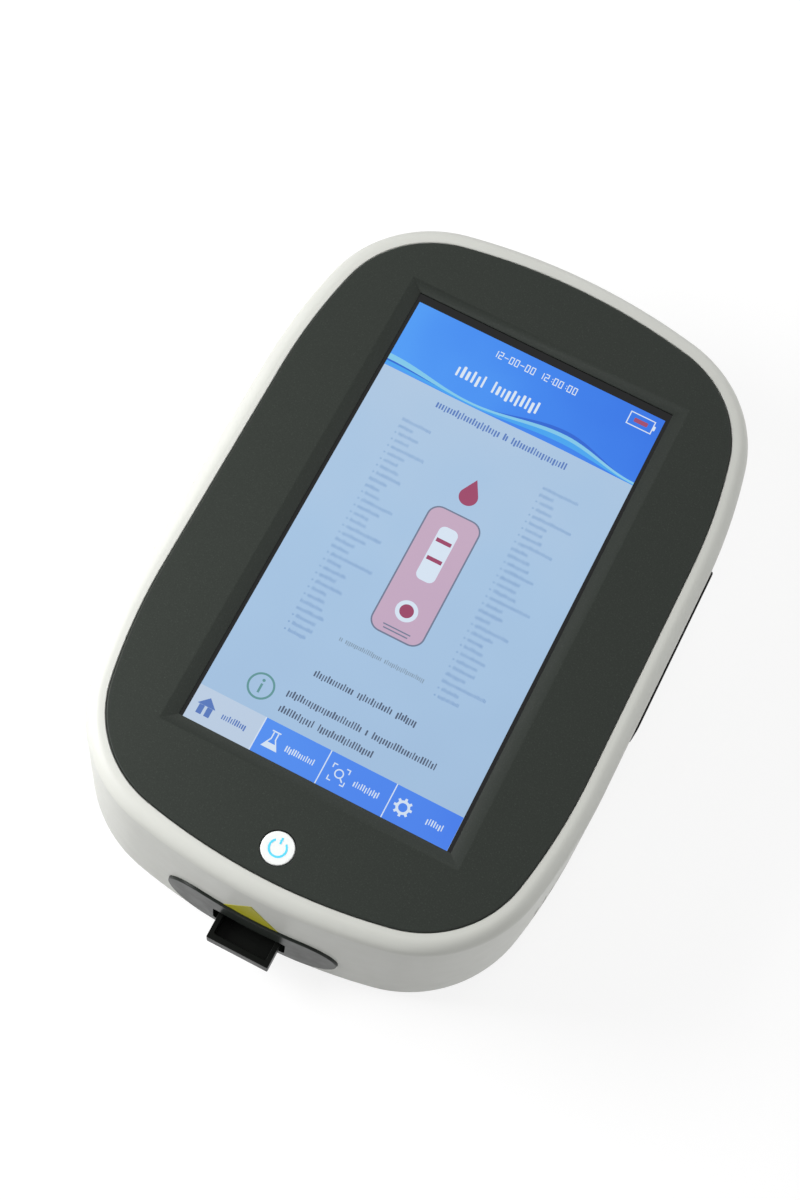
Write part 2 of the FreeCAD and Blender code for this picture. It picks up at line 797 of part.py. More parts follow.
def cut_from(name, base, tool):
    """One object with another cut away."""
    result = doc.addObject("Part::Cut", name)
    result.Base = base
    result.Tool = tool
    return result


def common_to(name, *shapes):
    """What several objects share."""
    result = doc.addObject("Part::MultiCommon", name)
    result.Shapes = shapes
    return result


def base_screw_places():
    """Where the four long screws stand, in plan."""
    return [(f"{side} * screw_x", y) for side in SIDES for y in ("front_screw_y", "rear_screw_y")]


def tab_screw_places():
    """Where the six screws through the shell's tabs stand, in plan."""
    ys = [f"body_centre_y + {step} * tab_pitch" for step in (-1, 0, 1)]
    return [(f"{side} * tab_screw_x", y) for side in SIDES for y in ys]


def frame_screw_places():
    """Where the six screws of the display frame stand, in plan."""
    ys = [f"screen_centre_y + {step} * frame_boss_pitch" for step in (-1, 0, 1)]
    return [(f"{side} * frame_boss_x", y) for side in SIDES for y in ys]


def standoff_places():
    """Where the main board's four standoffs hang, in plan."""
    return [(f"{side} * standoff_x", y) for side in SIDES for y in ("standoff_front_y", "standoff_rear_y")]


def deck_screw_places():
    """Where the deck's four screws stand, in plan."""
    xs = ("deck_left_x + deck_screw_inset", "deck_right_x - deck_screw_inset")
    ys = ("deck_front_y + 2 * deck_screw_inset", "deck_rear_y - deck_screw_inset")
    return [(x, y) for x in xs for y in ys]


def bridge_screw_places():
    """Where the optics bridge's four screws stand, in plan."""
    inset = "(bridge_foot - small_head_radius - bridge_screw_margin)"
    xs = (f"bridge_left_x + {inset}", f"bridge_right_x - {inset}")
    return [(x, y) for x in xs for y in ("bridge_front_y + bridge_foot", "bridge_rear_y - bridge_foot")]


def door_screw_places():
    """Where the battery door's two screws stand, in plan."""
    return [("battery_x", f"battery_y + {side} * (door_length / 2 - door_screw_inset)") for side in SIDES]


def button_screw_places():
    """Where the button board's two screws stand, in plan."""
    return [(f"{side} * button_boss_x", "button_y") for side in SIDES]


def tray_screw_places():
    """Where the two screws that hold the tray to its carriage stand, in plan."""
    return [("0", "tray_screw_front_y"), ("0", "tray_screw_rear_y")]


def screws(name, places, head_level, bite, upwards=True):
    """A group of small screws: each head lies behind the head level and its shank runs on from there."""
    group = Assembly(name)
    for x, y in places:
        single = Assembly(f"{name}_one")
        head_bottom = f"{head_level} - small_head_height" if upwards else head_level
        shank_bottom = head_level if upwards else f"{head_level} - ({bite})"
        single.rod("small_head_radius", "small_head_height", (x, y, head_bottom))
        single.rod("small_screw_radius", bite, (x, y, shank_bottom))
        group.add(single.solid())
    return group.finish(separate=True)


def front_plate_seat():
    """The stepped oval opening in the front wall, as a tool."""
    width, height = "plate_width", "plate_height"
    seat = tool_prism("plate_seat", draw_stadium, (width, height), "plate_centre_z")
    core = flared_solid("plate_seat_core", "plate_seat_depth", "ceiling")
    sizes = (f"{width} - 2 * plate_ledge", f"{height} - 2 * plate_ledge")
    through = tool_prism("plate_opening", draw_stadium, sizes, "plate_centre_z")
    return cut_from("plate_seat_step", seat, core), through


def main_shell():
    """The pale outer wall with its inner pillars, tabs and port surround, and its openings."""
    wall = Moulding("main_shell")
    start = ("0", "body_centre_y - side_straight_half", "0")
    wall.sweep(draw_shell_profile, ("0", "body_centre_y", "cover_seat"), start)

    inner = Assembly("shell_inner")
    for side in SIDES:
        for y in ("front_screw_y", "rear_screw_y"):
            height = "ceiling - pillar_bottom"
            inner.box(("pillar_width", "pillar_length", height), (f"{side} * screw_x", y, "pillar_bottom"))
            rib = ("wall_x - screw_x", "rib_thickness", height)
            inner.box(rib, (f"{side} * (wall_x + screw_x) / 2", y, "pillar_bottom"))
        for step in (-1, 0, 1):
            tab = ("cover_half_width - tab_inner_x", "tab_length", "ledge_thickness")
            x = f"{side} * (cover_half_width + tab_inner_x) / 2"
            inner.box(tab, (x, f"body_centre_y + {step} * tab_pitch", "ceiling"))
    reach = "(port_length / 2 + port_margin)"
    low = ("port_back_x", f"port_centre_y - {reach}", "port_pivot_z - flap_barrel_radius - port_margin")
    inner.span(low, ("wall_x", f"port_centre_y + {reach}", "port_top + port_margin"))
    limit = flared_solid("shell_limit", "shell_wall / 2", "cover_seat")
    trimmed = common_to("shell_inner_trimmed", inner.solid(), limit)

    shell = Assembly("main_shell")
    shell.add(wall.body)
    shell.add(trimmed)
    for x, y in base_screw_places():
        shell.rod("base_hole_radius", "pilot_depth", (x, y, "pillar_bottom"), cut=True)
    for x, y in tab_screw_places():
        shell.rod("small_hole_radius", "ledge_thickness", (x, y, "ceiling"), cut=True)
    for tool in front_plate_seat():
        shell.remove(tool)
    cut_port_recess(shell)
    for step in range(SPEAKER_SLOTS):
        y = f"speaker_y + {step - (SPEAKER_SLOTS - 1) / 2} * speaker_slot_pitch"
        slot = (TOOL_DEPTH, "speaker_slot_width", "speaker_slot_height")
        shell.box(slot, ("wall_x", y, "speaker_slot_bottom"), cut=True)
    window = ("jack_width + 2 * window_clearance", TOOL_DEPTH, "jack_height + 2 * window_clearance")
    sill = "floor_top + jack_shelf_height - window_clearance"
    shell.box(window, ("jack_x", "jack_mouth_y", sill), cut=True)
    return shell.finish()


def rounded_panel(target, low, high, radius, cut=False):
    """An upright panel facing X, with its two upper corners rounded."""
    depth = f"{high[0]} - ({low[0]})"
    shoulder = f"{high[2]} - ({radius})"
    target.span(low, (high[0], high[1], shoulder), cut)
    ends = (f"{low[1]} + {radius}", f"{high[1]} - ({radius})")
    target.span((low[0], ends[0], shoulder), (high[0], ends[1], high[2]), cut)
    for y in ends:
        target.rod(radius, depth, (low[0], y, shoulder), "x", cut)


def cut_port_recess(shell):
    """Cut the flap's recess, its barrel groove, its pin holes and the sockets' windows."""
    half = "(port_length / 2 + flap_clearance)"
    low = (
        "port_face_x - flap_thickness - flap_clearance",
        f"port_centre_y - {half}",
        "port_pivot_z - flap_barrel_radius - flap_clearance",
    )
    high = (f"port_face_x + {TOOL_DEPTH}", f"port_centre_y + {half}", "port_top + flap_clearance")
    rounded_panel(shell, low, high, "flap_corner_radius + flap_clearance", cut=True)
    groove = "flap_barrel_radius + flap_clearance"
    start = ("port_pivot_x", f"port_centre_y - {half}", "port_pivot_z")
    shell.rod(groove, f"2 * {half}", start, "y", cut=True)
    reach = "(port_length / 2 + flap_pin_overhang)"
    hole = ("port_pivot_x", f"port_centre_y - {reach}", "port_pivot_z")
    shell.rod("flap_pin_radius + flap_pin_clearance", f"2 * {reach}", hole, "y", cut=True)
    for y, width in socket_places():
        window = ("socket_depth", f"{width} + 2 * window_clearance", "socket_height + 2 * window_clearance")
        shell.box(window, ("port_face_x", y, "socket_bottom - window_clearance"), cut=True)


def socket_places():
    """Where the three sockets lie along the right wall, and how wide each is."""
    return [
        ("port_centre_y - usb_pitch", "usb_width"),
        ("port_centre_y", "usb_width"),
        ("port_centre_y + usb_pitch", "service_width"),
    ]


def base_cover():
    """The base: a shallow tub with a tongue inside the shell, screw bosses, a hatch and slots."""
    tub = Moulding("base_cover")
    tongue = "shell_flare - shell_wall - tongue_gap"
    tub.pad(draw_outline, ("shell_flare",), ("0", "body_centre_y", "foot_stand"), "seam_height - foot_stand")
    tub.fillet("foot_stand", "base_edge_radius")
    tub.pad(draw_outline, (tongue,), ("0", "body_centre_y", "seam_height"), "tongue_height")
    top = "seam_height + tongue_height"
    tub.pocket(draw_outline, (f"{tongue} - tongue_wall",), ("0", "body_centre_y", top), f"{top} - floor_top")

    base = Assembly("base_cover")
    base.add(tub.body)
    shelf = ("jack_width + 2 * speaker_post", "jack_length - speaker_post", "jack_shelf_height")
    shelf_y = "jack_mouth_y - jack_length / 2 - 2 * speaker_post"
    base.box(shelf, ("jack_x", shelf_y, "floor_top"))
    for side in SIDES:
        y = f"speaker_y + {side} * (speaker_length + speaker_post) / 2"
        post = ("speaker_thickness", "speaker_post", "speaker_post_height")
        base.box(post, ("speaker_x", y, "floor_top"))
    for x, y in base_screw_places():
        base.rod("base_boss_radius", "pillar_bottom - floor_top", (x, y, "floor_top"))
        base.rod("base_hole_radius", "pillar_bottom", (x, y, "foot_stand"), cut=True)
        base.rod("base_head_radius + window_clearance", "base_head_seat", (x, y, "foot_stand"), cut=True)
    for x, y in foot_places():
        base.rod("foot_radius + screw_clearance", "foot_sink", (x, y, "foot_stand"), cut=True)
    for x, y in deck_screw_places() + bridge_screw_places():
        base.rod("small_hole_radius", "base_floor / 2", (x, y, "floor_top - base_floor / 2"), cut=True)
    cut_hatch(base)
    for step in range(VENT_SLOTS):
        x = f"vent_x + {step} * vent_slot_pitch"
        base.box(("vent_slot_width", "vent_slot_length", "base_floor"), (x, "vent_y", "foot_stand"), cut=True)
    return base.finish()


def cut_hatch(base):
    """Cut the battery hatch, the seat of its door and the holes of the door's screws."""
    seat = ("door_width + 2 * door_gap", "door_length + 2 * door_gap", "door_thickness")
    base.box(seat, ("battery_x", "battery_y", "foot_stand"), cut=True)
    hatch = ("hatch_width", "hatch_length", "base_floor")
    base.box(hatch, ("battery_x", "battery_y", "foot_stand"), cut=True)
    for x, y in door_screw_places():
        base.rod("small_hole_radius", "base_floor", (x, y, "foot_stand"), cut=True)


def foot_places():
    """Where the four feet stand, in plan."""
    return [(f"{side} * foot_x", y) for side in SIDES for y in ("foot_front_y", "foot_rear_y")]


def rubber_feet():
    """Four round feet, sunk into the base."""
    feet = Assembly("rubber_feet")
    for x, y in foot_places():
        feet.rod("foot_radius", "foot_stand + foot_sink", (x, y, "0"))
    return feet.finish(separate=True)


def base_screws():
    """Four long screws from the base up into the shell's pillars."""
    group = Assembly("base_screws")
    for x, y in base_screw_places():
        seat = "foot_stand + base_head_seat"
        single = Assembly("base_screw")
        single.rod("base_head_radius", "base_head_height", (x, y, f"{seat} - base_head_height"))
        single.rod("base_screw_radius", "base_screw_length", (x, y, seat))
        group.add(single.solid())
    return group.finish(separate=True)


def top_cover():
    """The dark cover: bevelled window, button hole, glass rib, frame bosses and button board bosses."""
    cover = Moulding("top_cover")
    cover.pad(draw_outline, ("-cover_gap",), ("0", "body_centre_y", "cover_seat"), "cover_thickness")
    cover.fillet("overall_height", "cover_edge_radius")
    outer_width = "window_width + 2 * bevel_width"
    outer_length = "window_length + bevel_width + bevel_top_width"
    outer_y = "glass_centre_y + (bevel_top_width - bevel_width) / 2"
    foot = "cover_seat + bevel_foot"
    rims = (
        ((outer_width, outer_length), ("0", outer_y, "overall_height")),
        (("window_width", "window_length"), ("0", "glass_centre_y", foot)),
    )
    cover.loft(draw_rectangle, rims, cut=True)
    window = ("window_width", "window_length")
    cover.pocket(draw_rectangle, window, ("0", "glass_centre_y", foot), "bevel_foot")
    hole = ("0", "button_y", "overall_height")
    cover.pocket(draw_circle, ("button_radius + button_gap",), hole, "cover_thickness")
    for x, y in tab_screw_places():
        pilot = (x, y, "cover_seat + cover_screw_bite")
        cover.pocket(draw_circle, ("small_hole_radius",), pilot, "cover_screw_bite")
    rib = ("glass_width + 2 * glass_clearance", "glass_length + 2 * glass_clearance", "glass_rib_wall")
    cover.pad(draw_frame, rib, ("0", "glass_centre_y", "glass_bottom"), "glass_thickness")
    hang_bosses(cover, frame_screw_places(), "boss_radius", "panel_bottom", "frame_screw_bite")
    hang_bosses(cover, button_screw_places(), "button_boss_radius", "switch_bottom", "frame_screw_bite")
    return finish(cover.body, "top_cover")


def hang_bosses(cover, places, radius, bottom, bite):
    """Hang bosses with pilot holes from the cover's underside down to a level."""
    for x, y in places:
        cover.pad(draw_circle, (radius,), (x, y, bottom), f"cover_seat - {bottom}")
        cover.pocket(draw_circle, ("small_hole_radius",), (x, y, f"{bottom} + {bite}"), bite)


def display_stack():
    """Touch glass, gasket, display panel and the metal frame behind them."""
    glass = Assembly("touch_glass")
    glass.box(("glass_width", "glass_length", "glass_thickness"), ("0", "glass_centre_y", "glass_bottom"))
    glass.finish()

    gasket = Moulding("display_gasket")
    border = "(glass_width - window_width) / 2"
    gasket.pad(draw_frame, ("window_width", "window_length", border), ("0", "glass_centre_y", "panel_top"),
               "gasket_thickness")
    finish(gasket.body, "display_gasket")

    panel = Assembly("display_panel")
    panel.box(("panel_width", "panel_length", "panel_thickness"), ("0", "screen_centre_y", "panel_bottom"))
    panel.finish()

    frame = Assembly("display_frame")
    frame.box(("frame_width", "frame_length", "frame_thickness"), ("0", "screen_centre_y", "frame_bottom"))
    for x, y in frame_screw_places():
        hole = "small_hole_radius"
        frame.rod(hole, "frame_thickness", (x, y, "frame_bottom"), cut=True)
    cable_slot = ("flex_width + 2 * port_margin", "2 * port_margin", "frame_thickness")
    frame.box(cable_slot, ("0", "flex_y", "frame_bottom"), cut=True)
    frame.finish()

    flex = Assembly("display_flex")
    flex.box(("flex_width", "flex_thickness", "panel_bottom - board_top"), ("0", "flex_y", "board_top"))
    flex.finish()


def power_button():
    """The round button cap with its flange and stem, standing over its switch."""
    button = Moulding("power_button", ("0", "button_y", "0"))
    cap_top = "overall_height - button_sink"
    button.pad(draw_circle, ("button_radius",), ("0", "0", "flange_top"), f"{cap_top} - flange_top")
    button.fillet(cap_top, "button_edge_radius")
    flange_bottom = "(flange_top - button_flange_thickness)"
    button.pad(draw_circle, ("button_flange_radius",), ("0", "0", flange_bottom), "button_flange_thickness")
    button.pad(draw_circle, ("button_stem_radius",), ("0", "0", "shaft_top"), f"{flange_bottom} - shaft_top")
    finish(button.body, "power_button")


def button_switch():
    """The switch under the button, its plunger and the small board that it is soldered to."""
    switch = Assembly("button_switch")
    switch.box(("switch_size", "switch_size", "switch_height"), ("0", "button_y", "switch_bottom"))
    hole = "switch_bottom + switch_height - plunger_hole_depth"
    switch.rod("plunger_radius + running_gap", "plunger_hole_depth", ("0", "button_y", hole), cut=True)
    switch.finish()

    plunger = Assembly("switch_plunger")
    plunger.rod("plunger_radius", "plunger_length", ("0", "button_y", "shaft_top - plunger_length"))
    plunger.finish()

    board = Assembly("button_board")
    size = ("button_board_width", "button_board_length", "board_thickness")
    board.box(size, ("0", "button_y", "button_board_level"))
    for x, y in button_screw_places():
        hole = "small_hole_radius"
        board.rod(hole, "board_thickness", (x, y, "button_board_level"), cut=True)
    board.finish()


def main_board():
    """The main board on its standoffs, with its shield and its connectors."""
    standoffs = Assembly("board_standoffs")
    for x, y in standoff_places():
        post = Assembly("board_standoff")
        post.hexagon("standoff_radius", "standoff_length", (x, y, "board_top"))
        post.rod("small_hole_radius", "standoff_length / 2", (x, y, "board_top"), cut=True)
        standoffs.add(post.solid())
    standoffs.finish(separate=True)

    board = Assembly("main_board")
    half = "board_width / 2"
    board.span((f"-{half}", "board_front_y", "board_bottom"), (half, "board_rear_y", "board_top"))
    reach = "port_length / 2 - port_margin"
    tongue_low = (half, f"port_centre_y - ({reach})", "board_bottom")
    board.span(tongue_low, ("board_tongue_x", f"port_centre_y + {reach}", "board_top"))
    for x, y in standoff_places():
        hole = "small_hole_radius"
        board.rod(hole, "board_thickness", (x, y, "board_bottom"), cut=True)
    board.finish()

    shield = Assembly("processor_shield")
    size = ("shield_size", "shield_size", "shield_height")
    shield.box(size, ("battery_x", "shield_y", "board_bottom - shield_height"))
    shield.finish()

    connectors = Assembly("board_connectors")
    size = ("connector_width", "connector_length", "connector_height")
    front_y, rear_y = "board_front_y + connector_length", "board_rear_y - connector_length"
    for x, y in (("-standoff_x / 2", front_y), ("standoff_x / 2", front_y), ("0", rear_y)):
        connectors.box(size, (x, y, "board_bottom - connector_height"))
    connectors.finish(separate=True)


def sockets():
    """Two data sockets and a service socket on the board's edge, each with its inner tongue."""
    back = "(socket_mouth_x - socket_depth)"
    group = Assembly("usb_sockets")
    for y, width in socket_places():
        socket = Assembly("service_socket" if width == "service_width" else "usb_socket")
        low = (back, f"{y} - {width} / 2", "socket_bottom")
        socket.span(low, ("socket_mouth_x", f"{y} + {width} / 2", "board_bottom"))
        side = f"({width} / 2 - socket_wall)"
        cavity = Assembly("socket_cavity")
        low = (f"{back} + socket_back", f"{y} - {side}", "socket_bottom + socket_wall")
        cavity.span(low, ("socket_mouth_x", f"{y} + {side}", "board_bottom - socket_wall"))
        side = f"({width} / 2 - socket_side_gap)"
        high = ("socket_mouth_x - socket_tongue", f"{y} + {side}", "board_bottom - socket_roof")
        cavity.span((back, f"{y} - {side}", "socket_tongue_bottom"), high, cut=True)
        socket.remove(cavity.solid())
        if width == "service_width":
            socket.finish()
        else:
            group.add(socket.solid())
    group.finish(separate=True)


def port_flap():
    """The long flap over the ports, turning on a pin through its barrel."""
    low_y, high_y = "port_centre_y - port_length / 2", "port_centre_y + port_length / 2"
    flap = Assembly("port_flap")
    low, high = ("port_face_x - flap_thickness", low_y, "port_pivot_z"), ("port_face_x", high_y, "port_top")
    rounded_panel(flap, low, high, "flap_corner_radius")
    flap.rod("flap_barrel_radius", "port_length", ("port_pivot_x", low_y, "port_pivot_z"), "y")
    bore = "flap_pin_radius + flap_pin_clearance"
    flap.rod(bore, "port_length", ("port_pivot_x", low_y, "port_pivot_z"), "y", cut=True)
    flap.finish()

    pin = Assembly("port_flap_pin")
    start = ("port_pivot_x", f"{low_y} - flap_pin_overhang", "port_pivot_z")
    pin.rod("flap_pin_radius", "port_length + 2 * flap_pin_overhang", start, "y")
    pin.finish()


def power_jack():
    """The round power jack on its shelf, in the rear wall."""
    jack = Assembly("power_jack")
    level = "floor_top + jack_shelf_height"
    size = ("jack_width", "jack_length", "jack_height")
    jack.box(size, ("jack_x", "jack_mouth_y - jack_length / 2", level))
    axis = f"{level} + jack_height / 2"
    bore = Assembly("jack_bore")
    depth = "jack_length - speaker_post"
    bottom = f"jack_mouth_y - ({depth})"
    bore.rod("jack_bore_radius", depth, ("jack_x", bottom, axis), "y")
    bore.rod("jack_pin_radius", depth, ("jack_x", f"{bottom} - socket_wall", axis), "y", cut=True)
    jack.remove(bore.solid())
    jack.finish()


def slot_plate():
    """The oval plate round the tray slot, curved with the front wall."""
    sizes = ("plate_width - 2 * plate_gap", "plate_height - 2 * plate_gap")
    prism = tool_prism("plate_prism", draw_stadium, sizes, "plate_centre_z")
    face = flared_solid("plate_face", "-plate_proud", "ceiling")
    back = flared_solid("plate_back", "plate_seat_depth - running_gap", "ceiling")
    plate = Assembly("slot_plate")
    plate.add(common_to("plate_blank", prism, face))
    plate.remove(back)
    slot = ("slot_width", TOOL_DEPTH, "slot_top - slot_bottom")
    plate.box(slot, ("0", "front_wall_y", "slot_bottom"), cut=True)
    plate.finish()


def position_marker():
    """A thin plain triangle on the front wall, standing on the oval plate's top edge."""
    level = "plate_centre_z + plate_height / 2 + marker_gap"
    prism = tool_prism("marker_prism", draw_triangle, ("marker_width", "marker_height"), level)
    face = flared_solid("marker_face", "-marker_thickness", "ceiling")
    back = flared_solid("marker_back", "0", "ceiling")
    finish(cut_from("position_marker", common_to("marker_blank", prism, face), back), "position_marker")


def cassette_tray():
    """The trough that takes the test cassette, with a flat tail for its carriage."""
    tray = Assembly("cassette_tray")
    half = "tray_width / 2"
    tray.span((f"-{half}", "tray_tip_y", "tray_bottom"), (half, "tray_end_y", "tray_top"))
    bed_end = "tray_tip_y + tray_lip + tray_bed_length"
    bed_half = f"{half} - tray_wall"
    bed_low = (f"-({bed_half})", "tray_tip_y + tray_lip", "tray_bed_level")
    tray.span(bed_low, (bed_half, bed_end, "tray_top"), cut=True)
    tail_low = (f"-{half}", f"{bed_end} + tray_lip", "tray_bed_level + tray_tail_rise")
    tray.span(tail_low, (half, "tray_end_y", "tray_top"), cut=True)
    for x, y in tray_screw_places():
        hole = "small_hole_radius"
        tray.rod(hole, "tray_bed_depth + tray_floor", (x, y, "tray_bottom"), cut=True)
    tray.finish()


def tray_carriage():
    """The carriage under the tray's tail: a web, two bush bosses, the nut's housing and a flag."""
    carriage = Assembly("tray_carriage")
    front, rear = "carriage_front_y", "carriage_rear_y"
    carriage.span(("-rod_x", front, "web_level"), ("screw_axis_x", rear, "tray_bottom"))
    for side in SIDES:
        start = (f"{side} * rod_x", front, "rod_level")
        carriage.rod("carriage_boss_radius", "carriage_length", start, "y")
        carriage.rod("bush_radius + fit_gap", "carriage_length", start, "y", cut=True)
    low = ("screw_axis_x - nut_housing_half", front, "screw_axis_z - nut_housing_half")
    carriage.span(low, ("screw_axis_x + nut_housing_half", rear, "screw_axis_z + nut_housing_half"))
    nut_hole = ("screw_axis_x", front, "screw_axis_z")
    carriage.rod("nut_radius + fit_gap", "carriage_length", nut_hole, "y", cut=True)
    flag_low = ("flag_left_x", "carriage_rear_y - flag_length", "flag_level")
    flag_high = ("-rod_x - bush_radius - tray_floor / 2", rear, "flag_level + flag_thickness")
    carriage.span(flag_low, flag_high)
    for x, y in tray_screw_places():
        hole = (x, y, "web_level")
        carriage.rod("small_hole_radius", "tray_bottom - web_level", hole, cut=True)
    carriage.finish()

    bushes = Assembly("rod_bushes")
    for side in SIDES:
        for y in (front, "carriage_rear_y - bush_length"):
            bush = Assembly("rod_bush")
            start = (f"{side} * rod_x", y, "rod_level")
            bush.rod("bush_radius", "bush_length", start, "y")
            bush.rod("rod_radius + running_gap", "bush_length", start, "y", cut=True)
            bushes.add(bush.solid())
    bushes.finish(separate=True)

    nut = Assembly("lead_nut")
    start = ("screw_axis_x", f"{front} + (carriage_length - nut_length) / 2", "screw_axis_z")
    nut.rod("nut_radius", "nut_length", start, "y")
    nut.rod("lead_screw_radius + running_gap", "nut_length", start, "y", cut=True)
    nut.finish()


def scanner_frame():
    """The deck, the two rod blocks, the guide rods and the sensor that finds the tray's inner end."""
    deck = Assembly("scan_deck")
    deck.span(("deck_left_x", "deck_front_y", "floor_top"), ("deck_right_x", "deck_rear_y", "deck_top"))
    for x, y in deck_screw_places() + bridge_screw_places():
        deck.rod("small_hole_radius", "deck_thickness", (x, y, "floor_top"), cut=True)
    deck.finish()

    housing = ("screw_axis_x - nut_housing_half", "screw_axis_x + nut_housing_half")
    for name, front, rear, top in (
        ("front_rod_block", "deck_front_y", "deck_front_y + rod_block_length", "front_block_top"),
        ("rear_rod_block", "rear_block_y - rod_block_length", "rear_block_y", "rear_block_top"),
    ):
        block = Assembly(name)
        block.span(("-rod_x - rod_block_wall", front, "deck_top"), (housing[1], rear, top))
        block.span((housing[0], front, "deck_top"), (housing[1], rear, "screw_axis_z + nut_housing_half"))
        for side in SIDES:
            bore = (f"{side} * rod_x", front, "rod_level")
            block.rod("rod_radius + fit_gap", "rod_block_length", bore, "y", cut=True)
        radius = "bearing_radius + fit_gap" if name == "front_rod_block" else "shaft_hole_radius"
        block.rod(radius, "rod_block_length", ("screw_axis_x", front, "screw_axis_z"), "y", cut=True)
        block.finish()

    rods = Assembly("guide_rods")
    for side in SIDES:
        start = (f"{side} * rod_x", "deck_front_y", "rod_level")
        rods.rod("rod_radius", "rear_block_y - deck_front_y", start, "y")
    rods.finish(separate=True)

    sensor = Assembly("home_sensor")
    size = ("sensor_width", "sensor_length", "sensor_height")
    sensor.box(size, ("sensor_x", "sensor_y", "deck_top"))
    gap = "flag_level + flag_thickness / 2 - sensor_slot / 2"
    sensor.box(("sensor_width", "sensor_length", "sensor_slot"), ("sensor_x + 1", "sensor_y", gap), cut=True)
    sensor.finish()


def screw_drive():
    """The lead screw, its front bearing, and the motor on its plate."""
    bearing = Assembly("screw_bearing")
    start = ("screw_axis_x", "deck_front_y", "screw_axis_z")
    bearing.rod("bearing_radius", "rod_block_length", start, "y")
    bearing.rod("lead_screw_radius + running_gap", "rod_block_length", start, "y", cut=True)
    bearing.finish()

    motor_face = "(rear_block_y + motor_plate)"
    screw = Assembly("lead_screw")
    length = f"{motor_face} + motor_length / 2 - deck_front_y"
    screw.rod("lead_screw_radius", length, start, "y")
    screw.finish()

    plate = Assembly("motor_plate")
    half = "motor_radius + sheet_thickness / 2"
    low = (f"screw_axis_x - ({half})", "rear_block_y", "deck_top")
    plate.span(low, (f"screw_axis_x + {half}", motor_face, f"screw_axis_z + {half}"))
    hole = ("screw_axis_x", "rear_block_y", "screw_axis_z")
    plate.rod("shaft_hole_radius", "motor_plate", hole, "y", cut=True)
    plate.finish()

    motor = Assembly("scan_motor")
    axis = ("screw_axis_x", motor_face, "screw_axis_z")
    motor.rod("motor_radius", "motor_length", axis, "y")
    motor.rod("lead_screw_radius + running_gap", "motor_length / 2 + running_gap", axis, "y", cut=True)
    motor.finish()


def optics():
    """The bridge over the tray, and the optics block with its lens, filter, lamp and detector."""
    bridge = Assembly("optics_bridge")
    front, rear = "bridge_front_y", "bridge_rear_y"
    bridge.span(("bridge_left_x", front, "bridge_level"), ("bridge_right_x", rear, "bridge_top"))
    for low, high in (
        ("bridge_left_x", "bridge_left_x + sheet_thickness"),
        ("bridge_right_x - sheet_thickness", "bridge_right_x"),
    ):
        bridge.span((low, front, "deck_top"), (high, rear, "bridge_level"))
    foot_top = "deck_top + sheet_thickness"
    for low, high in (
        ("bridge_left_x", "bridge_left_x + bridge_foot"),
        ("bridge_right_x - bridge_foot", "bridge_right_x"),
    ):
        bridge.span((low, front, "deck_top"), (high, rear, foot_top))
    bridge.rod("light_port_radius", "sheet_thickness", ("0", "optics_y", "bridge_level"), cut=True)
    for x, y in bridge_screw_places():
        bridge.rod("small_hole_radius", "sheet_thickness", (x, y, "deck_top"), cut=True)
    bridge.finish()

    block = Assembly("optics_block")
    block.box(("optics_width", "optics_length", "optics_height"), ("0", "optics_y", "bridge_top"))
    block.rod("light_port_radius", "optics_height", ("0", "optics_y", "bridge_top"), cut=True)
    bore_level = "bridge_top + lens_rise"
    block.rod("optics_bore_radius", "optics_height - lens_rise", ("0", "optics_y", bore_level), cut=True)
    lamp_axis = "bridge_top + lamp_rise"
    lamp_x = "optics_width / 2 - lamp_length"
    lamp_bore = "lamp_radius + optic_clearance"
    block.rod(lamp_bore, "optics_width / 2", ("0", "optics_y", lamp_axis), "x", cut=True)
    block.finish()

    bore = "optics_bore_radius - optic_clearance"
    for name, level, thickness in (
        ("objective_lens", bore_level, "lens_thickness"),
        ("emission_filter", "bridge_top + filter_rise", "filter_thickness"),
    ):
        optic = Assembly(name)
        optic.rod(bore, thickness, ("0", "optics_y", level))
        optic.finish()

    lamp = Assembly("excitation_lamp")
    lamp.rod("lamp_radius", "lamp_length", (lamp_x, "optics_y", lamp_axis), "x")
    lamp.finish()

    block_top = "bridge_top + optics_height"
    detector = Assembly("light_detector")
    detector.rod("detector_radius", "detector_height", ("0", "optics_y", f"{block_top} - detector_height"))
    detector.finish()

    board = Assembly("detector_board")
    board.box(("optics_width", "optics_length", "board_thickness"), ("0", "optics_y", block_top))
    board.finish()


def battery():
    """The battery pack, and the door that carries it in the base's hatch."""
    pack = Assembly("battery_pack")
    size = ("battery_width", "battery_length", "battery_height")
    pack.box(size, ("battery_x", "battery_y", "battery_bottom"))
    pack.finish()

    door = Assembly("battery_door")
    door.box(("door_width", "door_length", "door_thickness"), ("battery_x", "battery_y", "foot_stand"))
    pad = ("hatch_width - 2 * door_gap", "hatch_length - 2 * door_gap", "door_pad_height")
    door.box(pad, ("battery_x", "battery_y", "foot_stand + door_thickness"))
    for x, y in door_screw_places():
        door.rod("small_hole_radius", "door_thickness", (x, y, "foot_stand"), cut=True)
        door.rod("small_head_radius + window_clearance", "door_head_sink", (x, y, "foot_stand"), cut=True)
    door.finish()

    group = Assembly("door_screws")
    for x, y in door_screw_places():
        single = Assembly("door_screw")
        seat = "(foot_stand + door_head_sink)"
        single.rod("small_head_radius", "door_head_height", (x, y, f"{seat} - door_head_height"))
        single.rod("small_screw_radius", "base_floor - door_head_sink", (x, y, seat))
        group.add(single.solid())
    group.finish(separate=True)


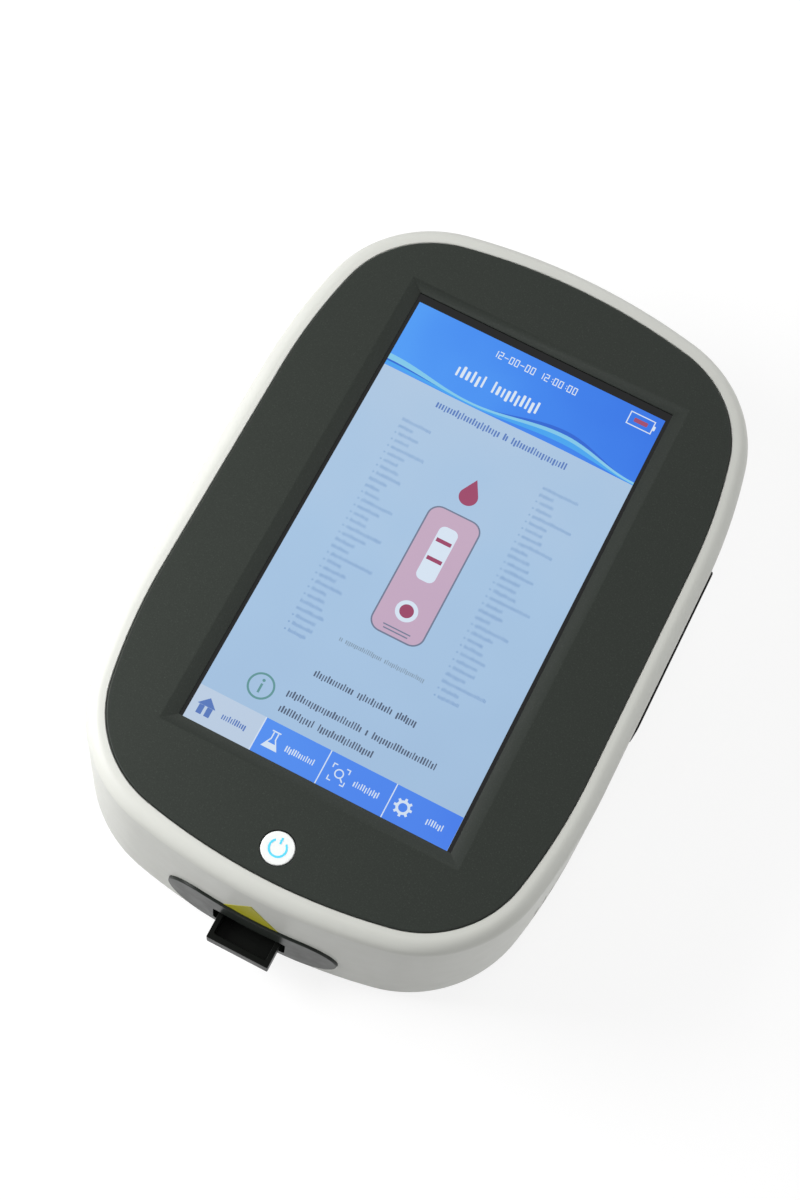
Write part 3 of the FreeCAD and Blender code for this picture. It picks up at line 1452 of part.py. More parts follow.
def speaker():
    """The speaker, standing between two posts behind the slots."""
    box = Assembly("speaker")
    size = ("speaker_thickness", "speaker_length", "speaker_height")
    box.box(size, ("speaker_x", "speaker_y", "floor_top"))
    face = "speaker_x + speaker_thickness / 2"
    centre = "floor_top + speaker_height / 2"
    box.rod("speaker_cone_radius", "speaker_cone_height", (face, "speaker_y", centre), "x")
    box.finish()


def fasteners():
    """The small screws, a group for each thing that they hold."""
    cover_bite = "ledge_thickness + cover_screw_bite - screw_clearance"
    frame_bite = "frame_thickness + frame_screw_bite - screw_clearance"
    button_bite = "board_thickness + button_screw_bite"
    base_bite = "base_floor / 2 - screw_clearance"
    foot_top, tail_top = "(deck_top + sheet_thickness)", "(tray_bed_level + tray_tail_rise)"
    for name, places, level, bite in (
        ("cover_screws", tab_screw_places(), "ceiling", cover_bite),
        ("frame_screws", frame_screw_places(), "frame_bottom", frame_bite),
        ("board_screws", standoff_places(), "board_bottom", "board_thickness + board_screw_bite"),
        ("button_board_screws", button_screw_places(), "button_board_level", button_bite),
    ):
        screws(name, places, level, bite)
    for name, places, level, bite in (
        ("deck_screws", deck_screw_places(), "deck_top", f"deck_thickness + {base_bite}"),
        ("bridge_screws", bridge_screw_places(), foot_top, f"sheet_thickness + deck_thickness + {base_bite}"),
        ("tray_screws", tray_screw_places(), tail_top, f"{tail_top} - web_level"),
    ):
        screws(name, places, level, bite, upwards=False)


def check_and_write():
    """Stop on any failed object or bad shape, then write each sub-part's file."""
    doc.recompute()
    failed = [item.Name for item in doc.Objects if {"Invalid", "Error"} & set(item.State)]
    bad = [item.Label for item in sub_parts if item.Shape.isNull() or not item.Shape.isValid()]
    if failed or bad:
        raise RuntimeError(f"failed objects {failed}, bad shapes {bad}")
    os.makedirs("parts", exist_ok=True)
    for item in sub_parts:
        item.Shape.exportStep(f"parts/{item.Label}.step")
        print(f"{item.Label}: {len(item.Shape.Solids)} solids, {item.Shape.Volume:.1f} mm3", flush=True)
    print(f"{len(sub_parts)} sub-parts", flush=True)


main_shell()
base_cover()
rubber_feet()
base_screws()
top_cover()
display_stack()
power_button()
button_switch()
main_board()
sockets()
port_flap()
power_jack()
slot_plate()
position_marker()
cassette_tray()
tray_carriage()
scanner_frame()
screw_drive()
optics()
battery()
speaker()
fasteners()
check_and_write()
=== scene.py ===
"""Visual model of a rapid test reader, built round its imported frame.

Metres throughout, in the frame's own axes: +X to the right of the screen, +Y away from the tray, +Z up, with
the origin on the table under the middle of the object. Each sub-assembly is a class that builds and dresses
its pieces, and each finish is a small frozen dataclass that makes its own node material.
"""

import json
import logging
import math
import random
from dataclasses import dataclass
from enum import Enum
from functools import lru_cache
from typing import Callable, Iterable, Sequence

import bmesh
import bpy
from mathutils import Matrix, Vector


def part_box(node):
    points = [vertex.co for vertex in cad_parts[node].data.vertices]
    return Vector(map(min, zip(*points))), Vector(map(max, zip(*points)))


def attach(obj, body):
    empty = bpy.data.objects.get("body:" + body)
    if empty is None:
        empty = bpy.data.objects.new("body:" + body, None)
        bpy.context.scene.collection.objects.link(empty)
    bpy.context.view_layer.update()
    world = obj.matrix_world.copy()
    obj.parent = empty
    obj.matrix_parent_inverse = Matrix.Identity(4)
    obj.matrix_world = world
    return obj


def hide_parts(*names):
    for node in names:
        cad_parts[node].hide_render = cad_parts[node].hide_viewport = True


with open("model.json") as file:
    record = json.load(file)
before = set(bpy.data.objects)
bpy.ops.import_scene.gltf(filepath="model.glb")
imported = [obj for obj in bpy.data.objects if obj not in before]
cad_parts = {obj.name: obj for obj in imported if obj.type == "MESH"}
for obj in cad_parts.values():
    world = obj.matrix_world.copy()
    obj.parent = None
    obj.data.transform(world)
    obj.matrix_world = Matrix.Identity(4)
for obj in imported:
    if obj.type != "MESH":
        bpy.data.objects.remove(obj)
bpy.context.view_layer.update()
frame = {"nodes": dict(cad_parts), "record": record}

MM = 0.001
MERGE = 1e-6
NOISE_LOW, NOISE_SPAN = 0.3, 0.4
NOISE_HIGH = NOISE_LOW + NOISE_SPAN
SHARP_DEGREES = 32.0
UPRIGHT = 0.999
CORNERS = ((-1, -1), (1, -1), (1, 1), (-1, 1))
LOG = logging.getLogger("reader")

Colour = tuple[float, float, float]
Point = tuple[float, float]
Outline = list[Point]
Shape = bmesh.types.BMesh
Edge = bmesh.types.BMEdge
Socket = bpy.types.NodeSocket


def srgb(red: int, green: int, blue: int) -> Colour:
    """Turn a screen colour of 0 to 255 into linear light.

    Args:
        red: Red as shown on a screen.
        green: Green as shown on a screen.
        blue: Blue as shown on a screen.

    Returns:
        The same colour in linear light, 0 to 1.
    """
    def linear(value: int) -> float:
        """Turn one channel."""
        share = value / 255
        return share / 12.92 if share <= 0.04045 else ((share + 0.055) / 1.055) ** 2.4

    return linear(red), linear(green), linear(blue)


def shade(colour: Colour, share: float) -> Colour:
    """Make a colour lighter or darker by a share."""
    return tuple(min(1.0, channel * share) for channel in colour)


class Body(Enum):
    """The frame's bodies that a piece can ride on."""

    CASING = "casing"
    TRAY = "tray"
    BUTTON = "power_key"
    FLAP = "flap"


class Slot(Enum):
    """The record's material slots, passed along with new pieces."""

    SHELL = "shell_plastic"
    COVER = "cover_plastic"
    DARK = "dark_plastic"
    MARKER = "marker_film"
    GLASS = "screen_glass"
    DISPLAY = "display_black"
    BUTTON = "button_plastic"
    RUBBER = "rubber"
    STEEL = "steel"


class Plane(Enum):
    """The plane that an outline is drawn in: the axes of its own two directions, then of its depth."""

    XY = (0, 1, 2)
    XZ = (0, 2, 1)
    YZ = (1, 2, 0)

    def place(self, u: float, v: float, depth: float) -> list[float]:
        """Put a place in the plane and its depth into the frame's axes."""
        along = dict(zip(self.value, (u, v, depth)))
        return [along[axis] for axis in range(3)]


class Axis(Enum):
    """The axis that a round piece lies along, as the turn in degrees that lays it there from upright."""

    Y = -90
    Z = 0


class Join(Enum):
    """How one solid works on another."""

    CUT = "DIFFERENCE"
    FUSE = "UNION"
    TRIM = "INTERSECT"


class Wiring:
    """A node tree with short calls that add and join its nodes."""

    def __init__(self, tree: bpy.types.NodeTree) -> None:
        """Take up the tree to add to."""
        self.tree = tree

    def add(self, kind: str, *sources: Socket, **settings: object) -> bpy.types.Node:
        """Add a node, set its sockets or properties by name and feed its first inputs.

        Args:
            kind: The node's type.
            *sources: Outputs that are joined to its first inputs, in order.
            **settings: Values for the sockets or properties of those names, with _ for a space in a socket.

        Returns:
            The new node.
        """
        node = self.tree.nodes.new(kind)
        for name, value in settings.items():
            socket = node.inputs.get(name.replace("_", " "))
            if socket is None:
                setattr(node, name, value)
            else:
                socket.default_value = value
        for source, target in zip(sources, node.inputs):
            self.link(source, target)
        return node

    def link(self, source: Socket, target: Socket) -> None:
        """Join an output to an input."""
        self.tree.links.new(source, target)


class Graph(Wiring):
    """A node material with one principled shader and short calls to build up its nodes."""

    def __init__(self, name: str) -> None:
        """Start a material that holds only its shader and its output.

        Args:
            name: The material's name.
        """
        self.material = bpy.data.materials.new(name)
        self.material.use_nodes = True
        super().__init__(self.material.node_tree)
        self.tree.nodes.clear()
        self.shader = self.add("ShaderNodeBsdfPrincipled")
        self.add("ShaderNodeOutputMaterial", self.shader.outputs["BSDF"])
        self.place = self.add("ShaderNodeTexCoord").outputs["Object"]

    def preset(self, **values: object) -> None:
        """Set constants on the shader's own sockets, with _ for a space."""
        for name, value in values.items():
            self.shader.inputs[name.replace("_", " ")].default_value = value

    def scaled(self, size: float, stretch: Sequence[float] = (1, 1, 1)) -> Socket:
        """Measure places in features of a size in metres, tighter along each axis by its stretch."""
        scale = [share / size for share in stretch]
        return self.add("ShaderNodeMapping", self.place, Scale=scale).outputs["Vector"]

    def noise(self, size: float, detail: float = 2.0, stretch: Sequence[float] = (1, 1, 1)) -> Socket:
        """Make noise with features of a size in metres, with some finer octaves, tighter by its stretch."""
        place = self.scaled(size, stretch)
        return self.add("ShaderNodeTexNoise", place, Scale=1.0, Detail=detail, Roughness=0.6).outputs["Fac"]

    def ranged(self, value: Socket, low: float, high: float) -> Socket:
        """Map a noise onto a range that starts where the noise is low."""
        return self.add("ShaderNodeMapRange", value, From_Min=NOISE_LOW, From_Max=NOISE_HIGH,
                        To_Min=low, To_Max=high).outputs["Result"]

    def sheen(self, value: Socket, low: float, high: float) -> None:
        """Drive the roughness between two values with a noise."""
        self.link(self.ranged(value, low, high), self.shader.inputs["Roughness"])

    def tint(self, value: Socket, colours: Sequence[Colour], target: str = "Base Color") -> None:
        """Drive a colour socket along a ramp of colours with a noise.

        Args:
            value: The value that picks the colour.
            colours: Colours from low to high.
            target: The shader's socket.
        """
        node = self.add("ShaderNodeValToRGB", value)
        stops = node.color_ramp.elements
        while len(stops) < len(colours):
            stops.new(0.5)
        for index, (stop, colour) in enumerate(zip(stops, colours)):
            stop.position = NOISE_LOW + NOISE_SPAN * index / (len(colours) - 1)
            stop.color = (*colour, 1)
        self.link(node.outputs["Color"], self.shader.inputs[target])

    def bump(self, *layers: tuple[Socket, float]) -> None:
        """Raise the surface by several heights, one after the other.

        Args:
            *layers: Pairs of a height from 0 to 1 and its depth in metres.
        """
        target = self.shader.inputs["Normal"]
        for height, depth in reversed(layers):
            node = self.add("ShaderNodeBump", Strength=1.0, Distance=depth)
            self.link(height, node.inputs["Height"])
            self.link(node.outputs["Normal"], target)
            target = node.inputs["Normal"]


@dataclass(frozen=True)
class Finish:
    """What every finish has: a name, and a node material that is made once."""

    name: str

    @lru_cache(maxsize=None)
    def material(self) -> bpy.types.Material:
        """Build the node material, or hand back the one that is built.

        Returns:
            The material.
        """
        graph = Graph(self.name)
        self.wire(graph)
        return graph.material

    def wire(self, graph: Graph) -> None:
        """Add the finish's own nodes to a new material."""
        raise NotImplementedError


@dataclass(frozen=True)
class Moulded(Finish):
    """Moulded plastic with a fine eroded grain, faint mottling and uneven sheen."""

    colour: Colour
    roughness: float = 0.45
    grain: float = 0.35 * MM
    depth: float = 0.006 * MM
    mottle: float = 0.04
    specular: float = 0.5
    cloud: float = 18 * MM
    sheen: float = 6 * MM

    def wire(self, graph: Graph) -> None:
        """Add mottling, uneven sheen and two grains.

        Args:
            graph: The new material.
        """
        graph.preset(Specular_IOR_Level=self.specular)
        shares = (1 - self.mottle, 1, 1 + self.mottle)
        graph.tint(graph.noise(self.cloud, 3), [shade(self.colour, share) for share in shares])
        graph.sheen(graph.noise(self.sheen, 4), self.roughness - 0.04, self.roughness + 0.05)
        graph.bump((graph.noise(self.grain, 1), self.depth), (graph.noise(self.grain / 3, 0), self.depth / 4))


@dataclass(frozen=True)
class SpeckledPlastic(Finish):
    """Dark moulded plastic with a coarse matt grain, with a painted highlight on the grain's peaks and
    painted shade in its hollows.
    """

    colour: Colour
    roughness: float = 0.52
    grain: float = 0.42 * MM
    depth: float = 0.007 * MM
    specular: float = 0.14
    # colour shares from the grain's hollows to its peaks: painted shade low, painted highlight at the peaks
    shares: tuple[float, ...] = (0.88, 0.95, 1.0, 1.06, 1.5)
    sheen: float = 9 * MM

    def wire(self, graph: Graph) -> None:
        """Add painted highlights on the grain's peaks and painted shade in its hollows, and uneven sheen.

        Args:
            graph: The new material.
        """
        graph.preset(Specular_IOR_Level=self.specular)
        grain = graph.noise(self.grain, 3)
        # the grain's height picks the colour, so its peaks are painted lighter and its hollows darker as
        # painted light and shade
        graph.tint(grain, [shade(self.colour, share) for share in self.shares])
        graph.sheen(graph.noise(self.sheen, 4), self.roughness - 0.05, self.roughness + 0.06)
        graph.bump((grain, self.depth), (graph.noise(self.grain / 3, 0), self.depth / 3))


@dataclass(frozen=True)
class Metal(Finish):
    """Metal with drawn or blasted marks and slightly uneven polish."""

    colour: Colour
    roughness: float = 0.3
    grain: float = 0.2 * MM
    drawn: float = 1.0
    depth: float = 0.002 * MM

    def wire(self, graph: Graph) -> None:
        """Add the marks and a faint tint.

        Args:
            graph: The new material.
        """
        graph.preset(Metallic=1.0)
        marks = graph.noise(self.grain, 3, (1, 1 / self.drawn, 1))
        graph.tint(graph.noise(7 * MM, 3), [shade(self.colour, 0.92), shade(self.colour, 1.04)])
        graph.sheen(marks, self.roughness - 0.06, self.roughness + 0.08)
        graph.bump((marks, self.depth))


@dataclass(frozen=True)
class Rubber(Finish):
    """Dull moulded rubber with a dusty face."""

    colour: Colour

    def wire(self, graph: Graph) -> None:
        """Add dust, uneven sheen and a soft grain.

        Args:
            graph: The new material.
        """
        graph.preset(Specular_IOR_Level=0.25)
        graph.tint(graph.noise(4 * MM, 5), [self.colour, shade(self.colour, 1.6)])
        graph.sheen(graph.noise(1.5 * MM, 2), 0.72, 0.86)
        graph.bump((graph.noise(0.4 * MM, 3), 0.02 * MM))


@dataclass(frozen=True)
class Board(Finish):
    """Printed circuit board: solder mask over a net of tracks."""

    mask: Colour
    track: Colour
    pitch: float = 1.6 * MM

    def wire(self, graph: Graph) -> None:
        """Add the tracks, raised a little under the mask.

        Args:
            graph: The new material.
        """
        graph.preset(Roughness=0.3, Coat_Weight=0.4, Coat_Roughness=0.2)
        cells = graph.add("ShaderNodeTexVoronoi", graph.scaled(self.pitch), distance="MANHATTAN",
                          feature="DISTANCE_TO_EDGE", Scale=1.0)
        graph.tint(cells.outputs["Distance"], [self.track, self.mask])
        graph.bump((cells.outputs["Distance"], 0.02 * MM))


@dataclass(frozen=True)
class Glass(Finish):
    """Clear or tinted glass with faint smears."""

    colour: Colour
    transmission: float = 0.9

    def wire(self, graph: Graph) -> None:
        """Add the tint and the smears.

        Args:
            graph: The new material.
        """
        graph.preset(Transmission_Weight=self.transmission, IOR=1.5)
        graph.tint(graph.noise(5 * MM, 2), [shade(self.colour, 0.96), self.colour])
        graph.sheen(graph.noise(2.5 * MM, 3), 0.02, 0.07)


@dataclass(frozen=True)
class DarkGlass(Finish):
    """Black-backed cover glass with a clear gloss and faint smears."""

    colour: Colour

    def wire(self, graph: Graph) -> None:
        """Add the gloss and smears that run along the screen.

        Args:
            graph: The new material.
        """
        graph.preset(Coat_Weight=0.15, Coat_Roughness=0.04, Specular_IOR_Level=0.2)
        graph.tint(graph.noise(30 * MM, 2), [self.colour, shade(self.colour, 1.5)])
        graph.sheen(graph.noise(12 * MM, 4, (1, 0.3, 1)), 0.06, 0.16)


@dataclass(frozen=True)
class Lit(Finish):
    """Lit pixels under the glass: colours that run along the screen, with the glass's gloss over them."""

    colours: tuple[Colour, ...]
    strength: float = 0.83
    direction: Point = (0.25, -1.0)
    centre: Point = (0.0, 0.006)
    reach: float = 0.09
    drift: float = 0.03
    unlit: float = 0.08

    def wire(self, graph: Graph) -> None:
        """Add the run of colours, moved a little by noise, as light and as the face's own colour.

        Args:
            graph: The new material.
        """
        graph.preset(Roughness=0.14, Emission_Strength=self.strength, Specular_IOR_Level=0.28)
        moved = graph.add("ShaderNodeVectorMath", graph.place, operation="SUBTRACT")
        moved.inputs[1].default_value = (*self.centre, 0)
        along = graph.add("ShaderNodeVectorMath", moved.outputs["Vector"], operation="DOT_PRODUCT")
        along.inputs[1].default_value = (*self.direction, 0)
        run = graph.add("ShaderNodeMapRange", along.outputs["Value"], From_Min=-self.reach,
                        From_Max=self.reach, To_Min=NOISE_LOW, To_Max=NOISE_HIGH)
        drift = graph.ranged(graph.noise(22 * MM, 1), -self.drift, self.drift)
        mottled = graph.add("ShaderNodeMath", run.outputs["Result"], drift, operation="ADD").outputs["Value"]
        graph.tint(mottled, self.colours, "Emission Color")
        graph.tint(mottled, [shade(colour, self.unlit) for colour in self.colours])


WHITE_SHELL = Moulded("white_shell", srgb(204, 205, 199), 0.42, 0.30 * MM, 0.004 * MM, 0.012, 0.35)
# the cover's grain carries a painted highlight on its peaks and painted shade in its hollows
CHARCOAL = SpeckledPlastic("charcoal_cover", srgb(44, 48, 44))
BLACK_PLASTIC = Moulded("black_plastic", srgb(13, 15, 13), 0.36, 0.30 * MM, 0.006 * MM, 0.06, 0.08)
SLATE_PLASTIC = Moulded("slate_plastic", srgb(32, 36, 33), 0.34, 0.25 * MM, 0.003 * MM, 0.06, 0.12)
CONNECTOR = Moulded("connector_plastic", srgb(30, 31, 32), 0.5, 0.25 * MM, 0.008 * MM, 0.08)
GREY_PLASTIC = Moulded("grey_plastic", srgb(92, 94, 96), 0.45, 0.3 * MM, 0.008 * MM, 0.05)
ACETAL = Moulded("natural_acetal", srgb(226, 222, 205), 0.4, 0.4 * MM, 0.004 * MM, 0.03)
BUTTON_WHITE = Moulded("button_white", srgb(238, 240, 238), 0.32, 0.3 * MM, 0.002 * MM, 0.01)
MARKER_YELLOW = Moulded("marker_yellow", srgb(176, 170, 14), 0.36, 0.5 * MM, 0.002 * MM, 0.04, 0.15)
BATTERY_BLUE = Moulded("battery_wrap", srgb(44, 78, 140), 0.22, 1.2 * MM, 0.01 * MM, 0.05)
AMBER_FILM = Moulded("amber_film", srgb(190, 120, 30), 0.25, 0.5 * MM, 0.002 * MM, 0.08)
BLACK_RUBBER = Rubber("black_rubber", srgb(30, 30, 30))
FOAM = Rubber("foam", srgb(22, 22, 22))
STEEL = Metal("turned_steel", (0.56, 0.57, 0.58), 0.26, 0.12 * MM)
STEEL_SHEET = Metal("steel_sheet", (0.62, 0.63, 0.64), 0.34, 0.15 * MM, 12.0)
ALUMINIUM = Metal("blasted_aluminium", (0.76, 0.77, 0.78), 0.45, 0.18 * MM)
BRASS = Metal("sintered_brass", (0.72, 0.53, 0.24), 0.42, 0.2 * MM)
BLACK_METAL = Moulded("black_anodised", srgb(24, 24, 25), 0.5, 0.2 * MM, 0.006 * MM, 0.05)
GREEN_BOARD = Board("green_board", srgb(16, 78, 44), srgb(44, 122, 70))
CLEAR_GLASS = Glass("clear_glass", (0.9, 0.95, 0.96))
FILTER_GLASS = Glass("filter_glass", (0.9, 0.45, 0.12))
SCREEN_GLASS = DarkGlass("screen_glass", srgb(10, 11, 12))

PAGE = Lit("lit_page", (srgb(182, 206, 232), srgb(170, 201, 232), srgb(164, 194, 226)))
HEADER = Lit("lit_header", (srgb(48, 118, 236), srgb(62, 138, 246), srgb(84, 166, 255)),
             direction=(-0.7, -0.4), centre=(0.0, 0.07), reach=0.04)
WAVE_PALE = Lit("lit_wave_pale", (srgb(132, 205, 240), srgb(176, 222, 244)), reach=0.06)
WAVE_MID = Lit("lit_wave_mid", (srgb(70, 168, 246), srgb(96, 190, 248)), reach=0.06)
WAVE_DEEP = Lit("lit_wave_deep", (srgb(44, 104, 216), srgb(52, 116, 228)), reach=0.06)
TAB_BLUE = Lit("lit_tab", (srgb(84, 148, 246), srgb(66, 124, 240)), direction=(1.0, 0.2), reach=0.05)
TAB_PALE = Lit("lit_tab_pale", (srgb(196, 214, 234), srgb(190, 208, 230)))
INK_WHITE = Lit("lit_white", (srgb(226, 238, 250), srgb(214, 230, 248)))
INK_DARK = Lit("lit_dark", (srgb(74, 88, 112), srgb(82, 96, 120)))
INK_BLUE = Lit("lit_blue", (srgb(92, 128, 196), srgb(86, 120, 190)))
INK_LIST = Lit("lit_list", (srgb(138, 172, 214), srgb(122, 156, 204)))
INK_GREY = Lit("lit_grey", (srgb(132, 154, 176), srgb(138, 160, 180)))
TEAL = Lit("lit_teal", (srgb(104, 160, 160), srgb(96, 150, 152)))
PINK = Lit("lit_pink", (srgb(206, 178, 200), srgb(196, 168, 196)))
MAROON = Lit("lit_maroon", (srgb(168, 78, 112), srgb(150, 62, 100)))
STONE = Lit("lit_stone", (srgb(120, 130, 154), srgb(112, 122, 148)))
CYAN = Lit("lit_cyan", (srgb(70, 206, 240), srgb(92, 216, 246)), strength=1.0)

SLOT_FINISH = {
    "shell_plastic": WHITE_SHELL, "cover_plastic": CHARCOAL, "dark_plastic": BLACK_PLASTIC,
    "marker_film": MARKER_YELLOW, "screen_glass": SCREEN_GLASS, "gasket_foam": FOAM,
    "display_black": SCREEN_GLASS, "steel_sheet": STEEL_SHEET, "steel": STEEL, "flex_film": AMBER_FILM,
    "brass_plated": BRASS, "brass": BRASS, "circuit_board": GREEN_BOARD, "connector_plastic": CONNECTOR,
    "aluminium": ALUMINIUM, "motor_can": STEEL_SHEET, "optics_black": BLACK_METAL,
    "optical_glass": CLEAR_GLASS, "filter_glass": FILTER_GLASS, "battery_wrap": BATTERY_BLUE,
    "rubber": BLACK_RUBBER, "carriage_plastic": GREY_PLASTIC, "nut_plastic": ACETAL,
    "button_plastic": BUTTON_WHITE,
}


@dataclass(frozen=True)
class PlanOutline:
    """The housing's plan: straight sides, then side, corner and end arcs that meet in tangents."""

    half_width: float = 70.3 * MM
    half_length: float = 106.7 * MM
    straight_half: float = 37 * MM
    side_radius: float = 185 * MM
    corner_radius: float = 35.4 * MM
    end_radius: float = 186.6 * MM
    centre_y: float = 3.9 * MM
    reach: float = 30 * MM
    side_steps: int = 12
    corner_steps: int = 22
    end_steps: int = 10

    @property
    def front(self) -> float:
        """Where the outline ends towards the tray."""
        return self.centre_y - self.half_length

    def through_right(self, outline: Sequence[Point]) -> Shape:
        """A tool on an outline that runs out through the right wall."""
        return prism(outline, self.half_width, self.half_width + self.reach, Plane.YZ)

    def arcs(self) -> list[tuple[Vector, float, int]]:
        """Work out the arcs of one quarter, from the side to the end.

        Returns:
            Each arc's centre, its angle and its number of steps.
        """
        side = Vector((self.half_width - self.side_radius, self.straight_half, 0))
        end = Vector((0, self.half_length - self.end_radius, 0))
        near, far = self.side_radius - self.corner_radius, self.end_radius - self.corner_radius
        apart = end - side
        along = (near**2 - far**2 + apart.length_squared) / (2 * apart.length)
        unit = apart.normalized()
        across = Vector((-unit.y, unit.x, 0)) * math.sqrt(near**2 - along**2)
        foot = side + unit * along
        corner = max((foot + across, foot - across), key=lambda point: point.x + point.y)
        first = math.atan2(corner.y - side.y, corner.x - side.x)
        second = math.atan2(corner.y - end.y, corner.x - end.x)
        return [
            (side, first, self.side_steps),
            (corner, second - first, self.corner_steps),
            (end, math.pi / 2 - second, self.end_steps),
        ]

    def sweep(self, section: Sequence[Point], closed: bool = True) -> Shape:
        """Carry a wall section round the whole outline.

        Args:
            section: Points of the section, as distances outside the outline and heights.
            closed: Whether the section's last point joins its first.

        Returns:
            The swept mesh, welded, with its faces outward where it is closed.
        """
        shape = bmesh.new()
        points = [shape.verts.new((self.half_width + grow, 0, height)) for grow, height in section]
        pairs = zip(points, points[1:] + (points[:1] if closed else []))
        edges = [shape.edges.new(pair) for pair in pairs]
        moved = verts_in(bmesh.ops.extrude_edge_only(shape, edges=edges)["geom"])
        bmesh.ops.translate(shape, verts=moved, vec=(0, self.straight_half, 0))
        front = set(moved)
        last = moved + [edge for edge in shape.edges if front.issuperset(edge.verts)]
        for centre, angle, steps in self.arcs():
            spun = bmesh.ops.spin(shape, geom=last, cent=centre, axis=(0, 0, 1), angle=angle, steps=steps)
            last = spun["geom_last"]
        for axis in "XY":
            everything = shape.verts[:] + shape.edges[:] + shape.faces[:]
            bmesh.ops.mirror(shape, geom=everything, axis=axis, merge_dist=MERGE)
        bmesh.ops.remove_doubles(shape, verts=shape.verts, dist=MERGE)
        bmesh.ops.translate(shape, verts=shape.verts, vec=(0, self.centre_y, 0))
        bmesh.ops.recalc_face_normals(shape, faces=shape.faces)
        return shape


OUTLINE = PlanOutline()


def verts_in(geometry: Iterable[object]) -> list[bmesh.types.BMVert]:
    """Pick the vertices out of mixed geometry."""
    return [item for item in geometry if isinstance(item, bmesh.types.BMVert)]


def edges_where(shape: Shape, test: Callable[[Vector], bool], fold: float | None = None) -> list[Edge]:
    """Find the edges whose two ends both pass a test.

    Args:
        shape: The mesh.
        test: What to ask of each end's place.
        fold: The angle in radians that the edge's two faces must pass, if it matters.

    Returns:
        The edges.
    """
    edges = [edge for edge in shape.edges if all(test(vert.co) for vert in edge.verts)]
    if fold is None:
        return edges
    return [edge for edge in edges if len(edge.link_faces) == 2 and edge.calc_face_angle() > fold]


def at_height(height: float) -> Callable[[Vector], bool]:
    """Make a test of whether a place lies at a height."""
    return lambda place: abs(place.z - height) < MERGE


def cap(shape: Shape, height: float) -> None:
    """Fill the open loop of edges that lies at a height.

    Args:
        shape: The mesh.
        height: The height of the loop.
    """
    edges = [edge for edge in edges_where(shape, at_height(height)) if edge.is_boundary]
    bmesh.ops.edgeloop_fill(shape, edges=edges)
    bmesh.ops.recalc_face_normals(shape, faces=shape.faces)


def arc(centre: Point, radius: float, start: float, end: float, steps: int) -> Outline:
    """Points along an arc in a section.

    Args:
        centre: The arc's centre.
        radius: Its radius.
        start: Its first angle in degrees.
        end: Its last angle in degrees.
        steps: How many straight pieces stand for it.

    Returns:
        The points, ends included.
    """
    angles = [math.radians(start + (end - start) * index / steps) for index in range(steps + 1)]
    u, v = centre
    return [(u + radius * math.cos(angle), v + radius * math.sin(angle)) for angle in angles]


def soften(shape: Shape, edges: Sequence[Edge], radius: float, segments: int = 2) -> None:
    """Round some edges with a number of faces that reach a radius to each side."""
    bmesh.ops.bevel(shape, geom=edges, offset=radius, offset_type="OFFSET", segments=segments, profile=0.5,
                    affect="EDGES", clamp_overlap=True, material=-1)


def soften_upright(shape: Shape, radius: float, segments: int) -> None:
    """Round the edges that stand upright, in the same way."""
    spans = [(edge, edge.verts[1].co - edge.verts[0].co) for edge in shape.edges]
    soften(shape, [edge for edge, span in spans if abs(span.z) > UPRIGHT * span.length], radius, segments)


def block(low: Sequence[float], high: Sequence[float], edge: float = 0.0) -> Shape:
    """A box between two corners, with its edges rounded if asked.

    Args:
        low: Its lowest corner.
        high: Its highest corner.
        edge: The radius of its edges, or 0 to leave them sharp.

    Returns:
        The box.
    """
    shape = bmesh.new()
    size = [top - bottom for bottom, top in zip(low, high)]
    centre = [(top + bottom) / 2 for bottom, top in zip(low, high)]
    bmesh.ops.create_cube(shape, size=1, matrix=Matrix.Translation(centre) @ Matrix.Diagonal((*size, 1)))
    if edge:
        soften(shape, shape.edges[:], edge)
    return shape


def prism(points: Sequence[Point], bottom: float, top: float, plane: Plane = Plane.XY) -> Shape:
    """A prism on an outline.

    Args:
        points: The outline, in the plane's own two axes.
        bottom: Where it starts along the third axis.
        top: Where it ends.
        plane: The outline's plane.

    Returns:
        The closed prism.
    """
    shape = bmesh.new()
    base = shape.faces.new([shape.verts.new(plane.place(u, v, bottom)) for u, v in points])
    moved = verts_in(bmesh.ops.extrude_face_region(shape, geom=[base])["geom"])
    bmesh.ops.translate(shape, verts=moved, vec=plane.place(0, 0, top - bottom))
    bmesh.ops.recalc_face_normals(shape, faces=shape.faces)
    return shape


def stadium(centre: Point, width: float, height: float, steps: int) -> Outline:
    """The outline of a slot with round ends, lying along its first axis, or standing if higher than wide.

    Args:
        centre: Its middle.
        width: Its size along the first axis.
        height: Its size along the second axis.
        steps: How many straight pieces stand for each end.

    Returns:
        The outline's points.
    """
    if height > width:
        return [(centre[0] - v, centre[1] + u) for u, v in stadium((0, 0), height, width, steps)]
    reach, radius = (width - height) / 2, height / 2
    right = arc((centre[0] + reach, centre[1]), radius, -90, 90, steps)
    left = arc((centre[0] - reach, centre[1]), radius, 90, 270, steps)
    return right + left


def rounded(centre: Point, width: float, height: float, radius: float, steps: int = 5) -> Outline:
    """The outline of a rectangle with round corners.

    Args:
        centre: Its middle.
        width: Its size along the first axis.
        height: Its size along the second axis.
        radius: The radius of its corners.
        steps: How many straight pieces stand for each corner.

    Returns:
        The outline's points.
    """
    across, up = width / 2 - radius, height / 2 - radius
    corners = ((across, up, 0), (-across, up, 90), (-across, -up, 180), (across, -up, 270))
    points: Outline = []
    for u, v, start in corners:
        points += arc((centre[0] + u, centre[1] + v), radius, start, start + 90, steps)
    return points


